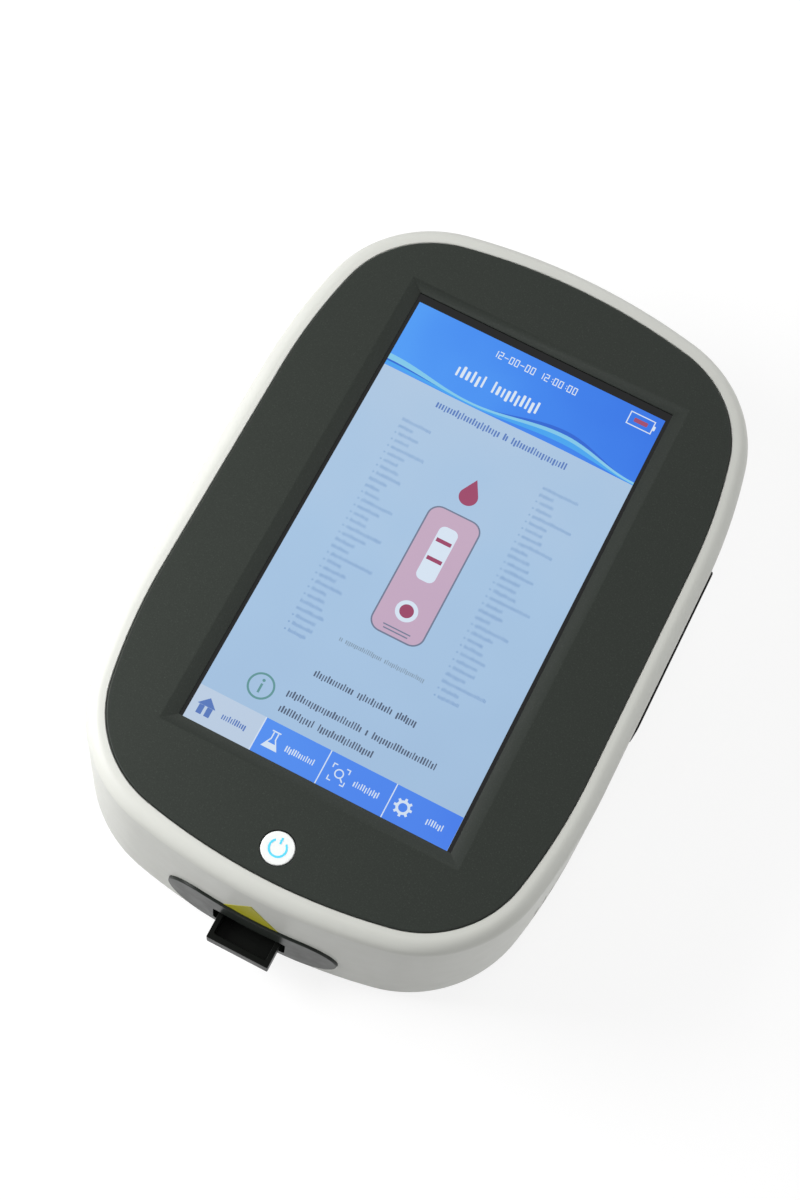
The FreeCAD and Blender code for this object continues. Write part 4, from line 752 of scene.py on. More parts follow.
def turned(profile: Sequence[Point], centre: Sequence[float], axis: Axis = Axis.Z, steps: int = 48) -> Shape:
    """A round solid turned from a profile that starts and ends on its axis.

    Args:
        profile: Radii and heights along the axis.
        centre: The point that heights are measured from.
        axis: The axis that it lies along.
        steps: How many faces go round.

    Returns:
        The closed solid.
    """
    shape = bmesh.new()
    points = [shape.verts.new((radius, 0, height)) for radius, height in profile]
    edges = [shape.edges.new(pair) for pair in zip(points, points[1:])]
    bmesh.ops.spin(shape, geom=points + edges, cent=(0, 0, 0), axis=(0, 0, 1), angle=math.tau, steps=steps,
                   use_merge=True)
    bmesh.ops.remove_doubles(shape, verts=shape.verts, dist=MERGE)
    turn = Matrix.Rotation(math.radians(axis.value), 4, "X")
    bmesh.ops.transform(shape, matrix=Matrix.Translation(centre) @ turn, verts=shape.verts)
    bmesh.ops.recalc_face_normals(shape, faces=shape.faces)
    return shape


def rod(radius: float, start: Sequence[float], length: float, axis: Axis = Axis.Z, edge: float = 0.0,
        steps: int = 48) -> Shape:
    """A round bar with its ends rounded if asked.

    Args:
        radius: Its radius.
        start: The middle of its first end.
        length: Its length.
        axis: The axis that it lies along.
        edge: The radius of its end edges.
        steps: How many faces go round.

    Returns:
        The closed bar.
    """
    low = arc((radius - edge, edge), edge, -90, 0, 3) if edge else [(radius, 0)]
    high = arc((radius - edge, length - edge), edge, 0, 90, 3) if edge else [(radius, length)]
    return turned([(0, 0), *low, *high, (0, length)], start, axis, steps)


def settled(shape: Shape, name: str) -> bpy.types.Mesh:
    """Turn a shape that is being worked on into a mesh, and free it.

    Args:
        shape: The shape. It is freed.
        name: The mesh's name.

    Returns:
        The mesh.
    """
    mesh = bpy.data.meshes.new(name)
    shape.to_mesh(mesh)
    shape.free()
    return mesh


def placed(name: str, data: bpy.types.ID) -> bpy.types.Object:
    """Make an object of some data and put it in the scene.

    Args:
        name: The object's name.
        data: Its mesh, lamp or camera.

    Returns:
        The object.
    """
    thing = bpy.data.objects.new(name, data)
    bpy.context.scene.collection.objects.link(thing)
    return thing


def joined(shapes: Iterable[Shape]) -> Shape:
    """Put several meshes into one.

    Args:
        shapes: The meshes. They are freed.

    Returns:
        One mesh that holds them all.
    """
    whole = bmesh.new()
    for shape in shapes:
        mesh = settled(shape, "joined")
        whole.from_mesh(mesh)
        bpy.data.meshes.remove(mesh)
    return whole


def carve(shape: Shape, tools: Iterable[Shape], how: Join = Join.CUT) -> Shape:
    """Cut, join or trim a closed mesh with others, one after the other.

    Args:
        shape: The mesh to work on. It is freed.
        tools: The closed meshes to use. They are freed.
        how: What they do to it.

    Returns:
        The new mesh.
    """
    holders = [placed("carve", settled(part, "carve")) for part in (shape, *tools)]
    for tool in holders[1:]:
        modifier = holders[0].modifiers.new("carve", "BOOLEAN")
        modifier.object = tool
        modifier.operation = how.value
        modifier.solver = "EXACT"
    final = holders[0].evaluated_get(bpy.context.evaluated_depsgraph_get())
    result = bpy.data.meshes.new_from_object(final)
    carved = bmesh.new()
    carved.from_mesh(result)
    for mesh in [holder.data for holder in holders] + [result]:
        bpy.data.meshes.remove(mesh)
    bmesh.ops.remove_doubles(carved, verts=carved.verts, dist=MERGE)
    bmesh.ops.dissolve_degenerate(carved, edges=carved.edges, dist=MERGE)
    return carved


def dress(shape: Shape, name: str, finish: Finish, slot: Slot, *nodes: str, body: Body = Body.CASING) -> None:
    """Make a mesh into a finished piece that rides on a body.

    Args:
        shape: The mesh. It is freed.
        name: The piece's name.
        finish: The finish to give it.
        slot: The record's slot for the piece; not used.
        *nodes: The frame's nodes that it stands for.
        body: The body that it rides on.
    """
    mesh = settled(shape, name)
    mesh.polygons.foreach_set("use_smooth", [True] * len(mesh.polygons))
    mesh.set_sharp_from_angle(angle=math.radians(SHARP_DEGREES))
    mesh.materials.append(finish.material())
    piece = placed(name, mesh)
    piece.modifiers.new("even_normals", "WEIGHTED_NORMAL").keep_sharp = True
    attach(piece, body.value)
    if nodes:
        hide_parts(*nodes)
    LOG.info("%s: %d faces", name, len(mesh.polygons))


@dataclass
class Housing:
    """The pale outer shell with its openings, and the base under it."""

    top: float = 64.6 * MM
    seat: float = 62.5 * MM
    ceiling: float = 60.1 * MM
    seam: float = 7.5 * MM
    foot_stand: float = 2.0 * MM
    flare: float = 7.6 * MM
    lean: float = 1.8
    wall: float = 2.6 * MM
    rim_radius: float = 4.4 * MM
    ledge: float = 3.0 * MM
    nick: float = 0.25 * MM
    base_edge: float = 5.0 * MM
    base_floor: float = 2.5 * MM
    speaker_y: float = -56 * MM
    speaker_pitch: float = 4.2 * MM
    speaker_width: float = 1.5 * MM
    speaker_low: float = 13 * MM
    speaker_high: float = 24 * MM
    jack_gap: float = 0.2 * MM
    jack_corner: float = 0.8 * MM
    surround_x: float = 72.3 * MM
    surround_margin: float = 3 * MM

    def grown(self, height: float, inset: float = 0.0) -> float:
        """How far the wall stands outside the cover's outline at a height, less an inset."""
        return self.flare - (height - self.seam) * math.tan(math.radians(self.lean)) - inset

    def layer(self, outer: float, inner: float) -> Shape:
        """A band of the front wall's own curve, between two depths below its face.

        Args:
            outer: How deep its outer face lies.
            inner: How deep its inner face lies.

        Returns:
            The closed band round the whole housing.
        """
        heights = (self.seam, self.ceiling)
        outside = [(self.grown(height, outer), height) for height in heights]
        inside = [(self.grown(height, inner), height) for height in reversed(heights)]
        return OUTLINE.sweep(outside + inside)

    def build(self) -> None:
        """Build the shell, the surround of the ports and the base."""
        self.shell()
        self.port_surround()
        self.base()

    def shell(self) -> None:
        """The outer wall: a leaning face, a round rim, the recess for the cover and the ledge under it."""
        rim_z = self.top - self.rim_radius
        rim_x = self.grown(rim_z) - self.rim_radius / math.cos(math.radians(self.lean))
        section = [
            (self.grown(self.seam) - self.nick, self.seam),
            (self.grown(self.seam + self.nick), self.seam + self.nick),
            *arc((rim_x, rim_z), self.rim_radius, self.lean, 90, 12),
            (self.nick, self.top),
            (0, self.top - self.nick),
            (0, self.seat),
            (-self.ledge, self.seat),
            (-self.ledge, self.ceiling),
            (self.grown(self.ceiling, self.wall), self.ceiling),
            (self.grown(self.seam, self.wall), self.seam),
        ]
        tools = [PLATE.opening(), PORTS.opening(), *self.speaker_slots(), self.jack_window()]
        dress(carve(OUTLINE.sweep(section), tools), "outer_shell", WHITE_SHELL, Slot.SHELL, "main_shell")

    def speaker_slots(self) -> list[Shape]:
        """Tools for the five upright slots in the right wall.

        Returns:
            The tools.
        """
        middle, height = (self.speaker_low + self.speaker_high) / 2, self.speaker_high - self.speaker_low
        places = [(self.speaker_y + step * self.speaker_pitch, middle) for step in (-2, -1, 0, 1, 2)]
        return [OUTLINE.through_right(stadium(place, self.speaker_width, height, 8)) for place in places]

    def jack_window(self) -> Shape:
        """The tool for the power jack's window in the rear wall.

        Returns:
            The tool.
        """
        low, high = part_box("power_jack")
        rear = OUTLINE.centre_y + OUTLINE.half_length
        width, height = high.x - low.x + 2 * self.jack_gap, high.z - low.z + 2 * self.jack_gap
        outline = rounded((0, (low.z + high.z) / 2), width, height, self.jack_corner)
        return prism(outline, rear, rear + OUTLINE.reach, Plane.XZ)

    def port_surround(self) -> None:
        """The thick part of the wall behind the flap, with the sockets' windows and the flap's groove."""
        face_x = PORTS.face_x - PORTS.thickness - PORTS.gap
        half = PORTS.length / 2 + self.surround_margin
        left, right = PORTS.centre_y - half, PORTS.centre_y + half
        low = PORTS.pivot_z - PORTS.barrel - self.surround_margin
        panel = block((self.surround_x, left, low), (face_x, right, PORTS.top + self.surround_margin))
        groove = rod(PORTS.barrel + PORTS.gap, (PORTS.pivot_x, left, PORTS.pivot_z), 2 * half, Axis.Y)
        dress(carve(panel, [*PORTS.windows(), groove]), "port_surround", WHITE_SHELL, Slot.SHELL)

    def base(self) -> None:
        """The base: a shallow tub with a rounded lower edge, a hatch, recesses and slots."""
        floor = self.foot_stand + self.base_floor
        edge_x, edge_z = self.flare - self.base_edge, self.foot_stand + self.base_edge
        inner = self.grown(self.seam, self.wall)
        section = [
            (inner, floor),
            (inner, self.seam),
            (self.flare - self.nick, self.seam),
            (self.flare, self.seam - self.nick),
            *reversed(arc((edge_x, edge_z), self.base_edge, -90, 0, 10)),
        ]
        shape = OUTLINE.sweep(section, closed=False)
        cap(shape, floor)
        cap(shape, self.foot_stand)
        dress(carve(shape, UNDERSIDE.cuts(floor)), "base_tub", WHITE_SHELL, Slot.SHELL, "base_cover")


@dataclass
class SlotPlate:
    """The oval plate round the tray's slot, curved with the front wall, and the marker above it."""

    width: float = 57.5 * MM
    height: float = 24.5 * MM
    centre_z: float = 22.75 * MM
    proud: float = 0.9 * MM
    depth: float = 1.75 * MM
    gap: float = 0.15 * MM
    edge: float = 0.3 * MM
    slot_width: float = 24.5 * MM
    slot_low: float = 14.3 * MM
    slot_high: float = 25.3 * MM
    slot_corner: float = 1.2 * MM
    marker_gap: float = 0.2 * MM
    marker_width: float = 17.9 * MM
    marker_height: float = 15.5 * MM
    marker_thickness: float = 0.12 * MM
    marker_root: float = 0.05 * MM
    reach: float = 20 * MM

    def through(self, outline: Sequence[Point]) -> Shape:
        """A tool on an outline that runs right through the front wall."""
        return prism(outline, OUTLINE.front - self.reach, OUTLINE.front + self.reach, Plane.XZ)

    def opening(self) -> Shape:
        """The tool for the plate's opening in the front wall."""
        return self.through(stadium((0, self.centre_z), self.width, self.height, 24))

    def build(self, housing: Housing) -> None:
        """Build the plate and the marker.

        Args:
            housing: The housing whose front wall they follow.
        """
        outline = stadium((0, self.centre_z), self.width - 2 * self.gap, self.height - 2 * self.gap, 24)
        shape = carve(housing.layer(-self.proud, self.depth), [self.through(outline)], Join.TRIM)
        arc_y = OUTLINE.front + OUTLINE.end_radius

        def on_face(place: Vector) -> bool:
            """Whether a place is outside the wall's own face."""
            out = math.hypot(place.x, place.y - arc_y) - OUTLINE.end_radius
            return place.y < OUTLINE.front and out > housing.grown(place.z)

        soften(shape, edges_where(shape, on_face, fold=1.0), self.edge, 3)
        slot_z = (self.slot_low + self.slot_high) / 2
        slot = rounded((0, slot_z), self.slot_width, self.slot_high - self.slot_low, self.slot_corner)
        dress(carve(shape, [self.through(slot)]), "oval_plate", SLATE_PLASTIC, Slot.DARK, "slot_plate")
        self.marker(housing)

    def marker(self, housing: Housing) -> None:
        """The plain triangle that stands on the plate's upper edge.

        Args:
            housing: The housing whose front wall it follows.
        """
        foot, half = self.centre_z + self.height / 2 + self.marker_gap, self.marker_width / 2
        triangle = self.through([(-half, foot), (half, foot), (0, foot + self.marker_height)])
        shape = carve(housing.layer(-self.marker_thickness, self.marker_root), [triangle], Join.TRIM)
        dress(shape, "front_marker", MARKER_YELLOW, Slot.MARKER, "position_marker")


@dataclass
class Ports:
    """The flap over the ports in the right wall, and the windows behind it."""

    centre_y: float = 24.9 * MM
    length: float = 60 * MM
    top: float = 40.5 * MM
    face_x: float = 77.8062 * MM
    thickness: float = 2.2 * MM
    barrel: float = 2.14 * MM
    gap: float = 0.35 * MM
    pivot_z: float = 28.2 * MM
    corner: float = 3.0 * MM
    reach: float = 30 * MM
    window_pitch: float = 19 * MM
    window_widths: tuple[float, ...] = (14.4 * MM, 14.4 * MM, 10 * MM)
    window_margin: float = 0.4 * MM
    window_corner: float = 0.6 * MM
    face_edge: float = 0.5 * MM
    barrel_edge: float = 0.3 * MM
    bore: float = 0.65 * MM
    groove: float = 1.4 * MM
    groove_length: float = 16 * MM

    @property
    def pivot_x(self) -> float:
        """Where the flap's pin lies across the housing."""
        return self.face_x - self.barrel

    def outline(self, low: float, grow: float = 0.0) -> Outline:
        """The flap's outline seen from the side, grown by a gap.

        Args:
            low: Where it ends below.
            grow: How much larger than the flap it is.

        Returns:
            Points in Y and Z.
        """
        half, radius, high = self.length / 2 + grow, self.corner + grow, self.top + grow
        left, right = self.centre_y - half, self.centre_y + half
        return [
            (left, low), (right, low),
            *arc((right - radius, high - radius), radius, 0, 90, 8),
            *arc((left + radius, high - radius), radius, 90, 180, 8),
        ]

    def opening(self) -> Shape:
        """The tool for the flap's opening in the right wall."""
        return OUTLINE.through_right(self.outline(self.pivot_z - self.barrel - self.gap, self.gap))

    def windows(self) -> list[Shape]:
        """Tools for the sockets' windows, each a little larger than its socket.

        Returns:
            The tools.
        """
        low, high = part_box("usb_sockets")
        middle, height = (low.z + high.z) / 2, high.z - low.z + self.window_margin
        tools = []
        for step, width in zip((-1, 0, 1), self.window_widths):
            place = (self.centre_y + step * self.window_pitch, middle)
            outline = rounded(place, width + self.window_margin, height, self.window_corner)
            tools.append(prism(outline, self.face_x - self.reach, self.face_x + self.reach, Plane.YZ))
        return tools

    def build(self) -> None:
        """Build the flap: a slab with round shoulders over a barrel, with a shallow thumb groove."""
        left = self.centre_y - self.length / 2
        slab = prism(self.outline(self.pivot_z), self.face_x - self.thickness, self.face_x, Plane.YZ)
        rim = edges_where(slab, lambda at: at.x > self.face_x - MERGE and at.z > self.pivot_z + MERGE)
        soften(slab, rim, self.face_edge, 3)
        x, z = self.pivot_x, self.pivot_z
        barrel = rod(self.barrel, (x, left, z), self.length, Axis.Y, self.barrel_edge, 40)
        bore = rod(self.bore, (x, left - MM, z), self.length + 2 * MM, Axis.Y, 0, 24)
        thumb = (self.face_x + 0.9 * MM, self.centre_y - self.groove_length / 2, self.top - 2.6 * MM)
        groove = rod(self.groove, thumb, self.groove_length, Axis.Y, 0.6 * MM, 32)
        shape = carve(carve(slab, [barrel], Join.FUSE), [bore, groove])
        dress(shape, "flap_cover", BLACK_PLASTIC, Slot.DARK, "port_flap", body=Body.FLAP)


@dataclass
class Underside:
    """What shows from below: battery door, feet, screws and slots."""

    centre: Point = (-19 * MM, 56 * MM)
    door_width: float = 46 * MM
    door_length: float = 88 * MM
    door_thickness: float = 1.4 * MM
    door_gap: float = 0.3 * MM
    door_screw_inset: float = 3.5 * MM
    bay_width: float = 42 * MM
    bay_length: float = 74 * MM
    pad_half_width: float = 20.7 * MM
    pad_half_length: float = 36.7 * MM
    pad_height: float = 1.5 * MM
    foot_radius: float = 6.5 * MM
    head_radius: float = 2.75 * MM
    head_seat: float = 3.0 * MM
    head_height: float = 2.2 * MM
    stand: float = 2.0 * MM
    under: float = 5 * MM
    screw_places: tuple[Point, ...] = tuple((x * MM, y * MM) for x in (-68.5, 68.5) for y in (-38, 68))
    foot_places: tuple[Point, ...] = tuple((x * MM, y * MM) for x in (-52, 52) for y in (-76, 84))

    def door_screws(self) -> list[Point]:
        """Where the door's two screws stand in plan.

        Returns:
            Their places.
        """
        x, y = self.centre
        reach = self.door_length / 2 - self.door_screw_inset
        return [(x, y + side * reach) for side in (-1, 1)]

    def cuts(self, floor: float) -> list[Shape]:
        """Tools for everything that is cut into the base from below.

        Args:
            floor: The level of the inside of its floor.

        Returns:
            The tools.
        """
        below = self.stand - self.under
        grown = 2 * self.door_gap
        seat = rounded(self.centre, self.door_width + grown, self.door_length + grown, 2 * MM)
        bay = rounded(self.centre, self.bay_width, self.bay_length, 2 * MM)
        tools = [prism(seat, below, self.stand + self.door_thickness), prism(bay, below, floor + MM)]
        for places, radius, deep in ((self.foot_places, self.foot_radius + 0.1 * MM, MM),
                                     (self.screw_places, self.head_radius + 0.2 * MM, self.head_seat)):
            tools += [rod(radius, (x, y, below), self.stand + deep - below) for x, y in places]
        for step in range(6):
            slot = stadium((32 * MM + step * 4.5 * MM, 62 * MM), 2 * MM, 26 * MM, 8)
            tools.append(prism(slot, below, floor + MM))
        return tools

    def build(self) -> None:
        """Build the door, the feet and the screws."""
        self.door()
        self.feet()
        low = self.stand + 0.1 * MM
        deep = self.stand + self.head_seat - self.head_height
        self.screws("base", self.screw_places, self.head_radius, deep, self.head_height)
        self.screws("door", self.door_screws(), 2 * MM, low, 0.7 * MM)

    def door(self) -> None:
        """The battery door with its grip ribs and the recesses of its screws."""
        x, y = self.centre
        top = self.stand + self.door_thickness
        shape = prism(rounded(self.centre, self.door_width, self.door_length, 1.7 * MM), self.stand, top)
        soften(shape, edges_where(shape, at_height(self.stand)), 0.3 * MM)
        tools = [rod(2.2 * MM, (*place, self.stand - MM), 1.8 * MM) for place in self.door_screws()]
        for step in range(7):
            rib = stadium((x, y + 26 * MM + step * 1.6 * MM), 18 * MM, 0.7 * MM, 5)
            tools.append(prism(rib, self.stand - MM, self.stand + 0.4 * MM))
        pad = block((x - self.pad_half_width, y - self.pad_half_length, top),
                    (x + self.pad_half_width, y + self.pad_half_length, top + self.pad_height))
        dress(joined([carve(shape, tools), pad]), "hatch_door", WHITE_SHELL, Slot.SHELL, "battery_door")

    def feet(self) -> None:
        """Four round feet with a soft edge and a dished middle."""
        radius, edge = self.foot_radius, 0.7 * MM
        profile = [(0, 0.35 * MM), (radius * 0.62, 0.2 * MM), (radius * 0.7, 0),
                   *arc((radius - edge, edge), edge, -90, 0, 4), (radius, 3 * MM), (0, 3 * MM)]
        feet = joined(turned(profile, (x, y, 0)) for x, y in self.foot_places)
        dress(feet, "foot_pads", BLACK_RUBBER, Slot.RUBBER, "rubber_feet")

    def screws(self, kind: str, places: Iterable[Point], radius: float, bottom: float, height: float) -> None:
        """Screw heads, face down, each with a cross recess.

        Args:
            kind: What they hold.
            places: Where they stand in plan.
            radius: Their radius.
            bottom: The level of their faces.
            height: Their height.
        """
        long, thin, depth = radius * 0.6, radius * 0.13, height * 0.45
        heads = []
        for x, y in places:
            tools = [block((x - a, y - b, bottom - MM), (x + a, y + b, bottom + depth))
                     for a, b in ((long, thin), (thin, long))]
            heads.append(carve(rod(radius, (x, y, bottom), height, Axis.Z, 0.15 * MM, 32), tools))
        dress(joined(heads), f"{kind}_screw_heads", STEEL, Slot.STEEL, f"{kind}_screws")


@dataclass
class TopCover:
    """The dark cover with its bevelled window and the hole for the button."""

    seat: float = 62.5 * MM
    top: float = 65.0 * MM
    gap: float = 0.2 * MM
    edge: float = 0.6 * MM
    window_width: float = 88.4 * MM
    window_length: float = 157.2 * MM
    window_y: float = 7.4 * MM
    bevel: float = 4.1 * MM
    bevel_top: float = 2.8 * MM
    overshoot: float = 1.5
    foot: float = 0.4 * MM
    button_y: float = -93.3 * MM
    button_hole: float = 5.3 * MM
    rim_edge: float = 0.22 * MM

    def build(self) -> None:
        """Build the cover."""
        section = [
            (-self.gap, self.seat),
            *arc((-self.gap - self.edge, self.top - self.edge), self.edge, 0, 90, 5),
        ]
        shape = OUTLINE.sweep(section, closed=False)
        cap(shape, self.seat)
        cap(shape, self.top)
        hole = rod(self.button_hole, (0, self.button_y, self.seat - MM), 5 * MM, steps=64)
        shape = carve(shape, [self.window(), hole])
        soften(shape, edges_where(shape, self.on_rim, fold=0.2), self.rim_edge)
        dress(shape, "cover_plate", CHARCOAL, Slot.COVER, "top_cover")

    def window(self) -> Shape:
        """The tool for the window: a straight foot under four mitred slopes that run past the cover's top.

        Returns:
            The tool.
        """
        across, up = self.window_width / 2, self.window_length / 2
        foot = self.seat + self.foot
        tool = block((-across, self.window_y - up, self.seat - MM), (across, self.window_y + up, foot))
        top = [face for face in tool.faces if face.normal.z > 0.9]
        for vert in verts_in(bmesh.ops.extrude_face_region(tool, geom=top)["geom"]):
            far = self.bevel_top if vert.co.y > self.window_y else self.bevel
            vert.co.x += math.copysign(self.bevel, vert.co.x) * self.overshoot
            vert.co.y += math.copysign(far, vert.co.y - self.window_y) * self.overshoot
            vert.co.z += (self.top - foot) * self.overshoot
        bmesh.ops.delete(tool, geom=top, context="FACES")
        bmesh.ops.recalc_face_normals(tool, faces=tool.faces)
        return tool

    def on_rim(self, at: Vector) -> bool:
        """Whether a place is on the window's upper rim or the button's.

        Args:
            at: The place.

        Returns:
            Whether it is.
        """
        across, up = self.window_width / 2 + 2 * self.bevel, self.window_length / 2 + 2 * self.bevel
        window = abs(at.x) < across and abs(at.y - self.window_y) < up
        hole = math.hypot(at.x, at.y - self.button_y) < self.button_hole + MERGE
        return abs(at.z - self.top) < MERGE and (window or hole)


@dataclass
class Key:
    """The power button: a round white cap over its flange and stem, with a lit ring and bar."""

    y: float = -93.3 * MM
    top: float = 64.9 * MM
    radius: float = 5.0 * MM
    flange_radius: float = 5.8 * MM
    flange_top: float = 62.2 * MM
    flange_low: float = 61.2 * MM
    stem_radius: float = 2.0 * MM
    stem_low: float = 57.3 * MM
    edge: float = 0.4 * MM
    dish: float = 0.05 * MM
    ring: float = 2.55 * MM
    line: float = 0.62 * MM
    opening: float = 40
    sunk: float = 0.06 * MM
    proud: float = 0.03 * MM

    def build(self) -> None:
        """Build the cap and its lit sign, an open ring with a short bar in its gap."""
        profile = [
            (0, self.stem_low), (self.stem_radius, self.stem_low), (self.stem_radius, self.flange_low),
            (self.flange_radius, self.flange_low), (self.flange_radius, self.flange_top),
            (self.radius, self.flange_top),
            *arc((self.radius - self.edge, self.top - self.edge), self.edge, 0, 90, 5),
            (self.radius * 0.5, self.top - 0.8 * self.dish), (0, self.top - self.dish),
        ]
        button = turned(profile, (0, self.y, 0), steps=72)
        dress(button, "button_cap", BUTTON_WHITE, Slot.BUTTON, "power_button", body=Body.BUTTON)
        start, end = 90 + self.opening, 450 - self.opening
        outer = arc((0, self.y), self.ring + self.line / 2, start, end, 40)
        inner = arc((0, self.y), self.ring - self.line / 2, end, start, 40)
        short = stadium((0, self.y + 2.3 * MM), self.line, 2.1 * MM, 6)
        low, high = self.top - self.sunk, self.top + self.proud
        sign = joined(prism(outline, low, high) for outline in (outer + inner, short))
        dress(sign, "button_sign", CYAN, Slot.BUTTON, body=Body.BUTTON)


@dataclass
class Tray:
    """The cassette tray: a long trough with a lip, a flat tail and a shallow seat for the cassette."""

    half: float = 10.4 * MM
    wall: float = 1.6 * MM
    bottom: float = 15.3 * MM
    floor: float = 16.9 * MM
    top: float = 21.5 * MM
    tip: float = -118.2 * MM
    bed: float = 72 * MM
    lip: float = 2.0 * MM
    length: float = 96.2 * MM
    hole: float = 1.1 * MM
    hole_places: tuple[float, ...] = (-36 * MM, -26 * MM)

    def build(self) -> None:
        """Build the tray."""
        end, bed_start = self.tip + self.length, self.tip + self.lip
        bed_end, inner, over = bed_start + self.bed, self.half - self.wall, self.top + MM
        shape = block((-self.half, self.tip, self.bottom), (self.half, end, self.top))
        soften_upright(shape, 0.35 * MM, 3)
        pocket = block((-inner, bed_start, self.floor), (inner, bed_end, over))
        soften_upright(pocket, 0.6 * MM, 3)
        tail = block((-self.half - MM, bed_end + self.lip, self.floor + 1.5 * MM),
                     (self.half + MM, end + MM, over))
        groove = block((-inner + 3 * MM, bed_start + 4 * MM, self.floor - 0.5 * MM),
                       (inner - 3 * MM, bed_end - 20 * MM, self.floor + MM))
        soften_upright(groove, 2 * MM, 4)
        holes = [rod(self.hole, (0, y, self.bottom - MM), 5 * MM, steps=24) for y in self.hole_places]
        shape = carve(shape, [pocket, tail, groove, *holes])
        soften(shape, edges_where(shape, at_height(self.top), fold=1.0), 0.25 * MM)
        dress(shape, "tray_trough", BLACK_PLASTIC, Slot.DARK, "cassette_tray", body=Body.TRAY)


def metres(points: Iterable[Point]) -> Outline:
    """Turn millimetres into metres."""
    return [(x * MM, y * MM) for x, y in points]


def shifted(centre: Point, points: Iterable[Point]) -> Outline:
    """Place a drawn shape about a centre, in millimetres."""
    return metres((centre[0] + x, centre[1] + y) for x, y in points)


def bar(centre: Point, width: float, height: float) -> Outline:
    """A plain bar about a centre, in millimetres."""
    return shifted(centre, [(a * width / 2, b * height / 2) for a, b in CORNERS])


def pad(centre: Point, width: float, height: float, radius: float, steps: int = 5) -> Outline:
    """A bar with round corners about a centre, in millimetres."""
    return rounded((centre[0] * MM, centre[1] * MM), width * MM, height * MM, radius * MM, steps)


def disc(centre: Point, radius: float) -> Outline:
    """A round spot, in millimetres."""
    return metres(arc(centre, radius, 0, 360, 48)[:-1])


def ring(centre: Point, radius: float, line: float) -> Outline:
    """A ring with a hairline slit, in millimetres."""
    outer = arc(centre, radius + line / 2, 0, 359.5, 32)
    return metres(outer + arc(centre, radius - line / 2, 359.5, 0, 32))


def wave(stops: Sequence[float], share: float) -> float:
    """The height of a wave that dips on the left and crests on the right.

    Args:
        stops: Its height at the left edge, the dip, the crest and the right edge.
        share: How far along the screen, 0 to 1.

    Returns:
        The height there.
    """
    places = list(zip((0.0, 0.34, 0.70, 1.0), stops))
    for (left, low), (right, high) in zip(places, places[1:]):
        if share <= right:
            ease = (1 - math.cos(math.pi * (share - left) / (right - left))) / 2
            return low + (high - low) * ease
    return stops[-1]


def words(start: Point, height: float, widths: Sequence[float], gap: float) -> list[Outline]:
    """A row of words, each a run of small blocks of uneven height.

    Args:
        start: Where the row starts and its middle height, in millimetres.
        height: The height of its small blocks, in millimetres.
        widths: How wide each word is, in millimetres.
        gap: The space between words, in millimetres.

    Returns:
        The blocks' outlines.
    """
    chance = random.Random(repr((start, height)))
    outlines = []
    left, pitch = start[0], height * 0.5
    for width in widths:
        count = max(1, round(width / pitch))
        for index in range(count):
            rise = chance.choice((0, 0, 0, 0.28, 0.28, -0.2)) * height
            wide = pitch * chance.uniform(0.38, 0.62)
            middle = (left + (index + 0.5) * width / count, start[1] + rise / 2)
            outlines.append(pad(middle, wide, height + abs(rise), wide * 0.3, 2))
        left += width + gap
    return outlines


STROKES = {
    "low": (0.5, 0, True), "mid": (0.5, 0.5, True), "top": (0.5, 1, True),
    "low_left": (0, 0.25, False), "low_right": (1, 0.25, False),
    "high_left": (0, 0.75, False), "high_right": (1, 0.75, False),
}
DIGITS = {
    "0": ("low", "top", "low_left", "low_right", "high_left", "high_right"),
    "1": ("low_right", "high_right"),
    "2": ("low", "mid", "top", "low_left", "high_right"),
    "-": ("mid",),
}


def digits(text: str, start: Point, height: float) -> list[Outline]:
    """A row of plain digits made of straight strokes.

    Args:
        text: Digits, dashes, colons and spaces.
        start: The lower left corner of the row, in millimetres.
        height: The height of a digit, in millimetres.

    Returns:
        The strokes' outlines.
    """
    line, wide = height * 0.13, height * 0.46
    outlines = []
    u, v = start
    for letter in text:
        for stroke in DIGITS.get(letter, ()):
            across, up, lying = STROKES[stroke]
            size = (wide + line, line) if lying else (line, 0.49 * height)
            outlines.append(bar((u + across * wide, v + up * height), *size))
        if letter == ":":
            outlines += [bar((u + wide / 2, v + share * height), line, line) for share in (0.3, 0.7)]
        u += wide * (1.1 if letter in ": " else 1.75)
    return outlines


def frame_of(centre: Point, width: float, height: float, line: float) -> list[Outline]:
    """Four bars that frame a rectangle, in millimetres.

    Args:
        centre: Its middle.
        width: The width between the middles of its bars.
        height: The height between them.
        line: How wide its bars are.

    Returns:
        The bars' outlines.
    """
    x, y = centre
    lying = [bar((x, y + side * height / 2), width + line, line) for side in (-1, 1)]
    return lying + [bar((x + side * width / 2, y), line, height - 1.1 * line) for side in (-1, 1)]


def house(centre: Point) -> list[Outline]:
    """A house sign, in millimetres.

    Args:
        centre: Its middle.

    Returns:
        The outlines of its parts.
    """
    u, v = centre
    roof = shifted(centre, [(-2.9, 0.2), (2.9, 0.2), (0, 3.0)])
    return [roof, *(bar((u + side * 1.3, v - 1.3), 1.7, 2.9) for side in (-1, 1))]


def flask(centre: Point) -> list[Outline]:
    """A flask sign, in millimetres."""
    glass = [(-0.9, 2.6), (-0.9, 0.6), (-2.6, -2.6), (2.6, -2.6), (0.9, 0.6), (0.9, 2.6),
             (0.5, 2.6), (0.5, 0.5), (1.2, -0.8), (-1.2, -0.8), (-0.5, 0.5), (-0.5, 2.6)]
    return [shifted(centre, glass), bar((centre[0], centre[1] + 2.9), 2.8, 0.4)]


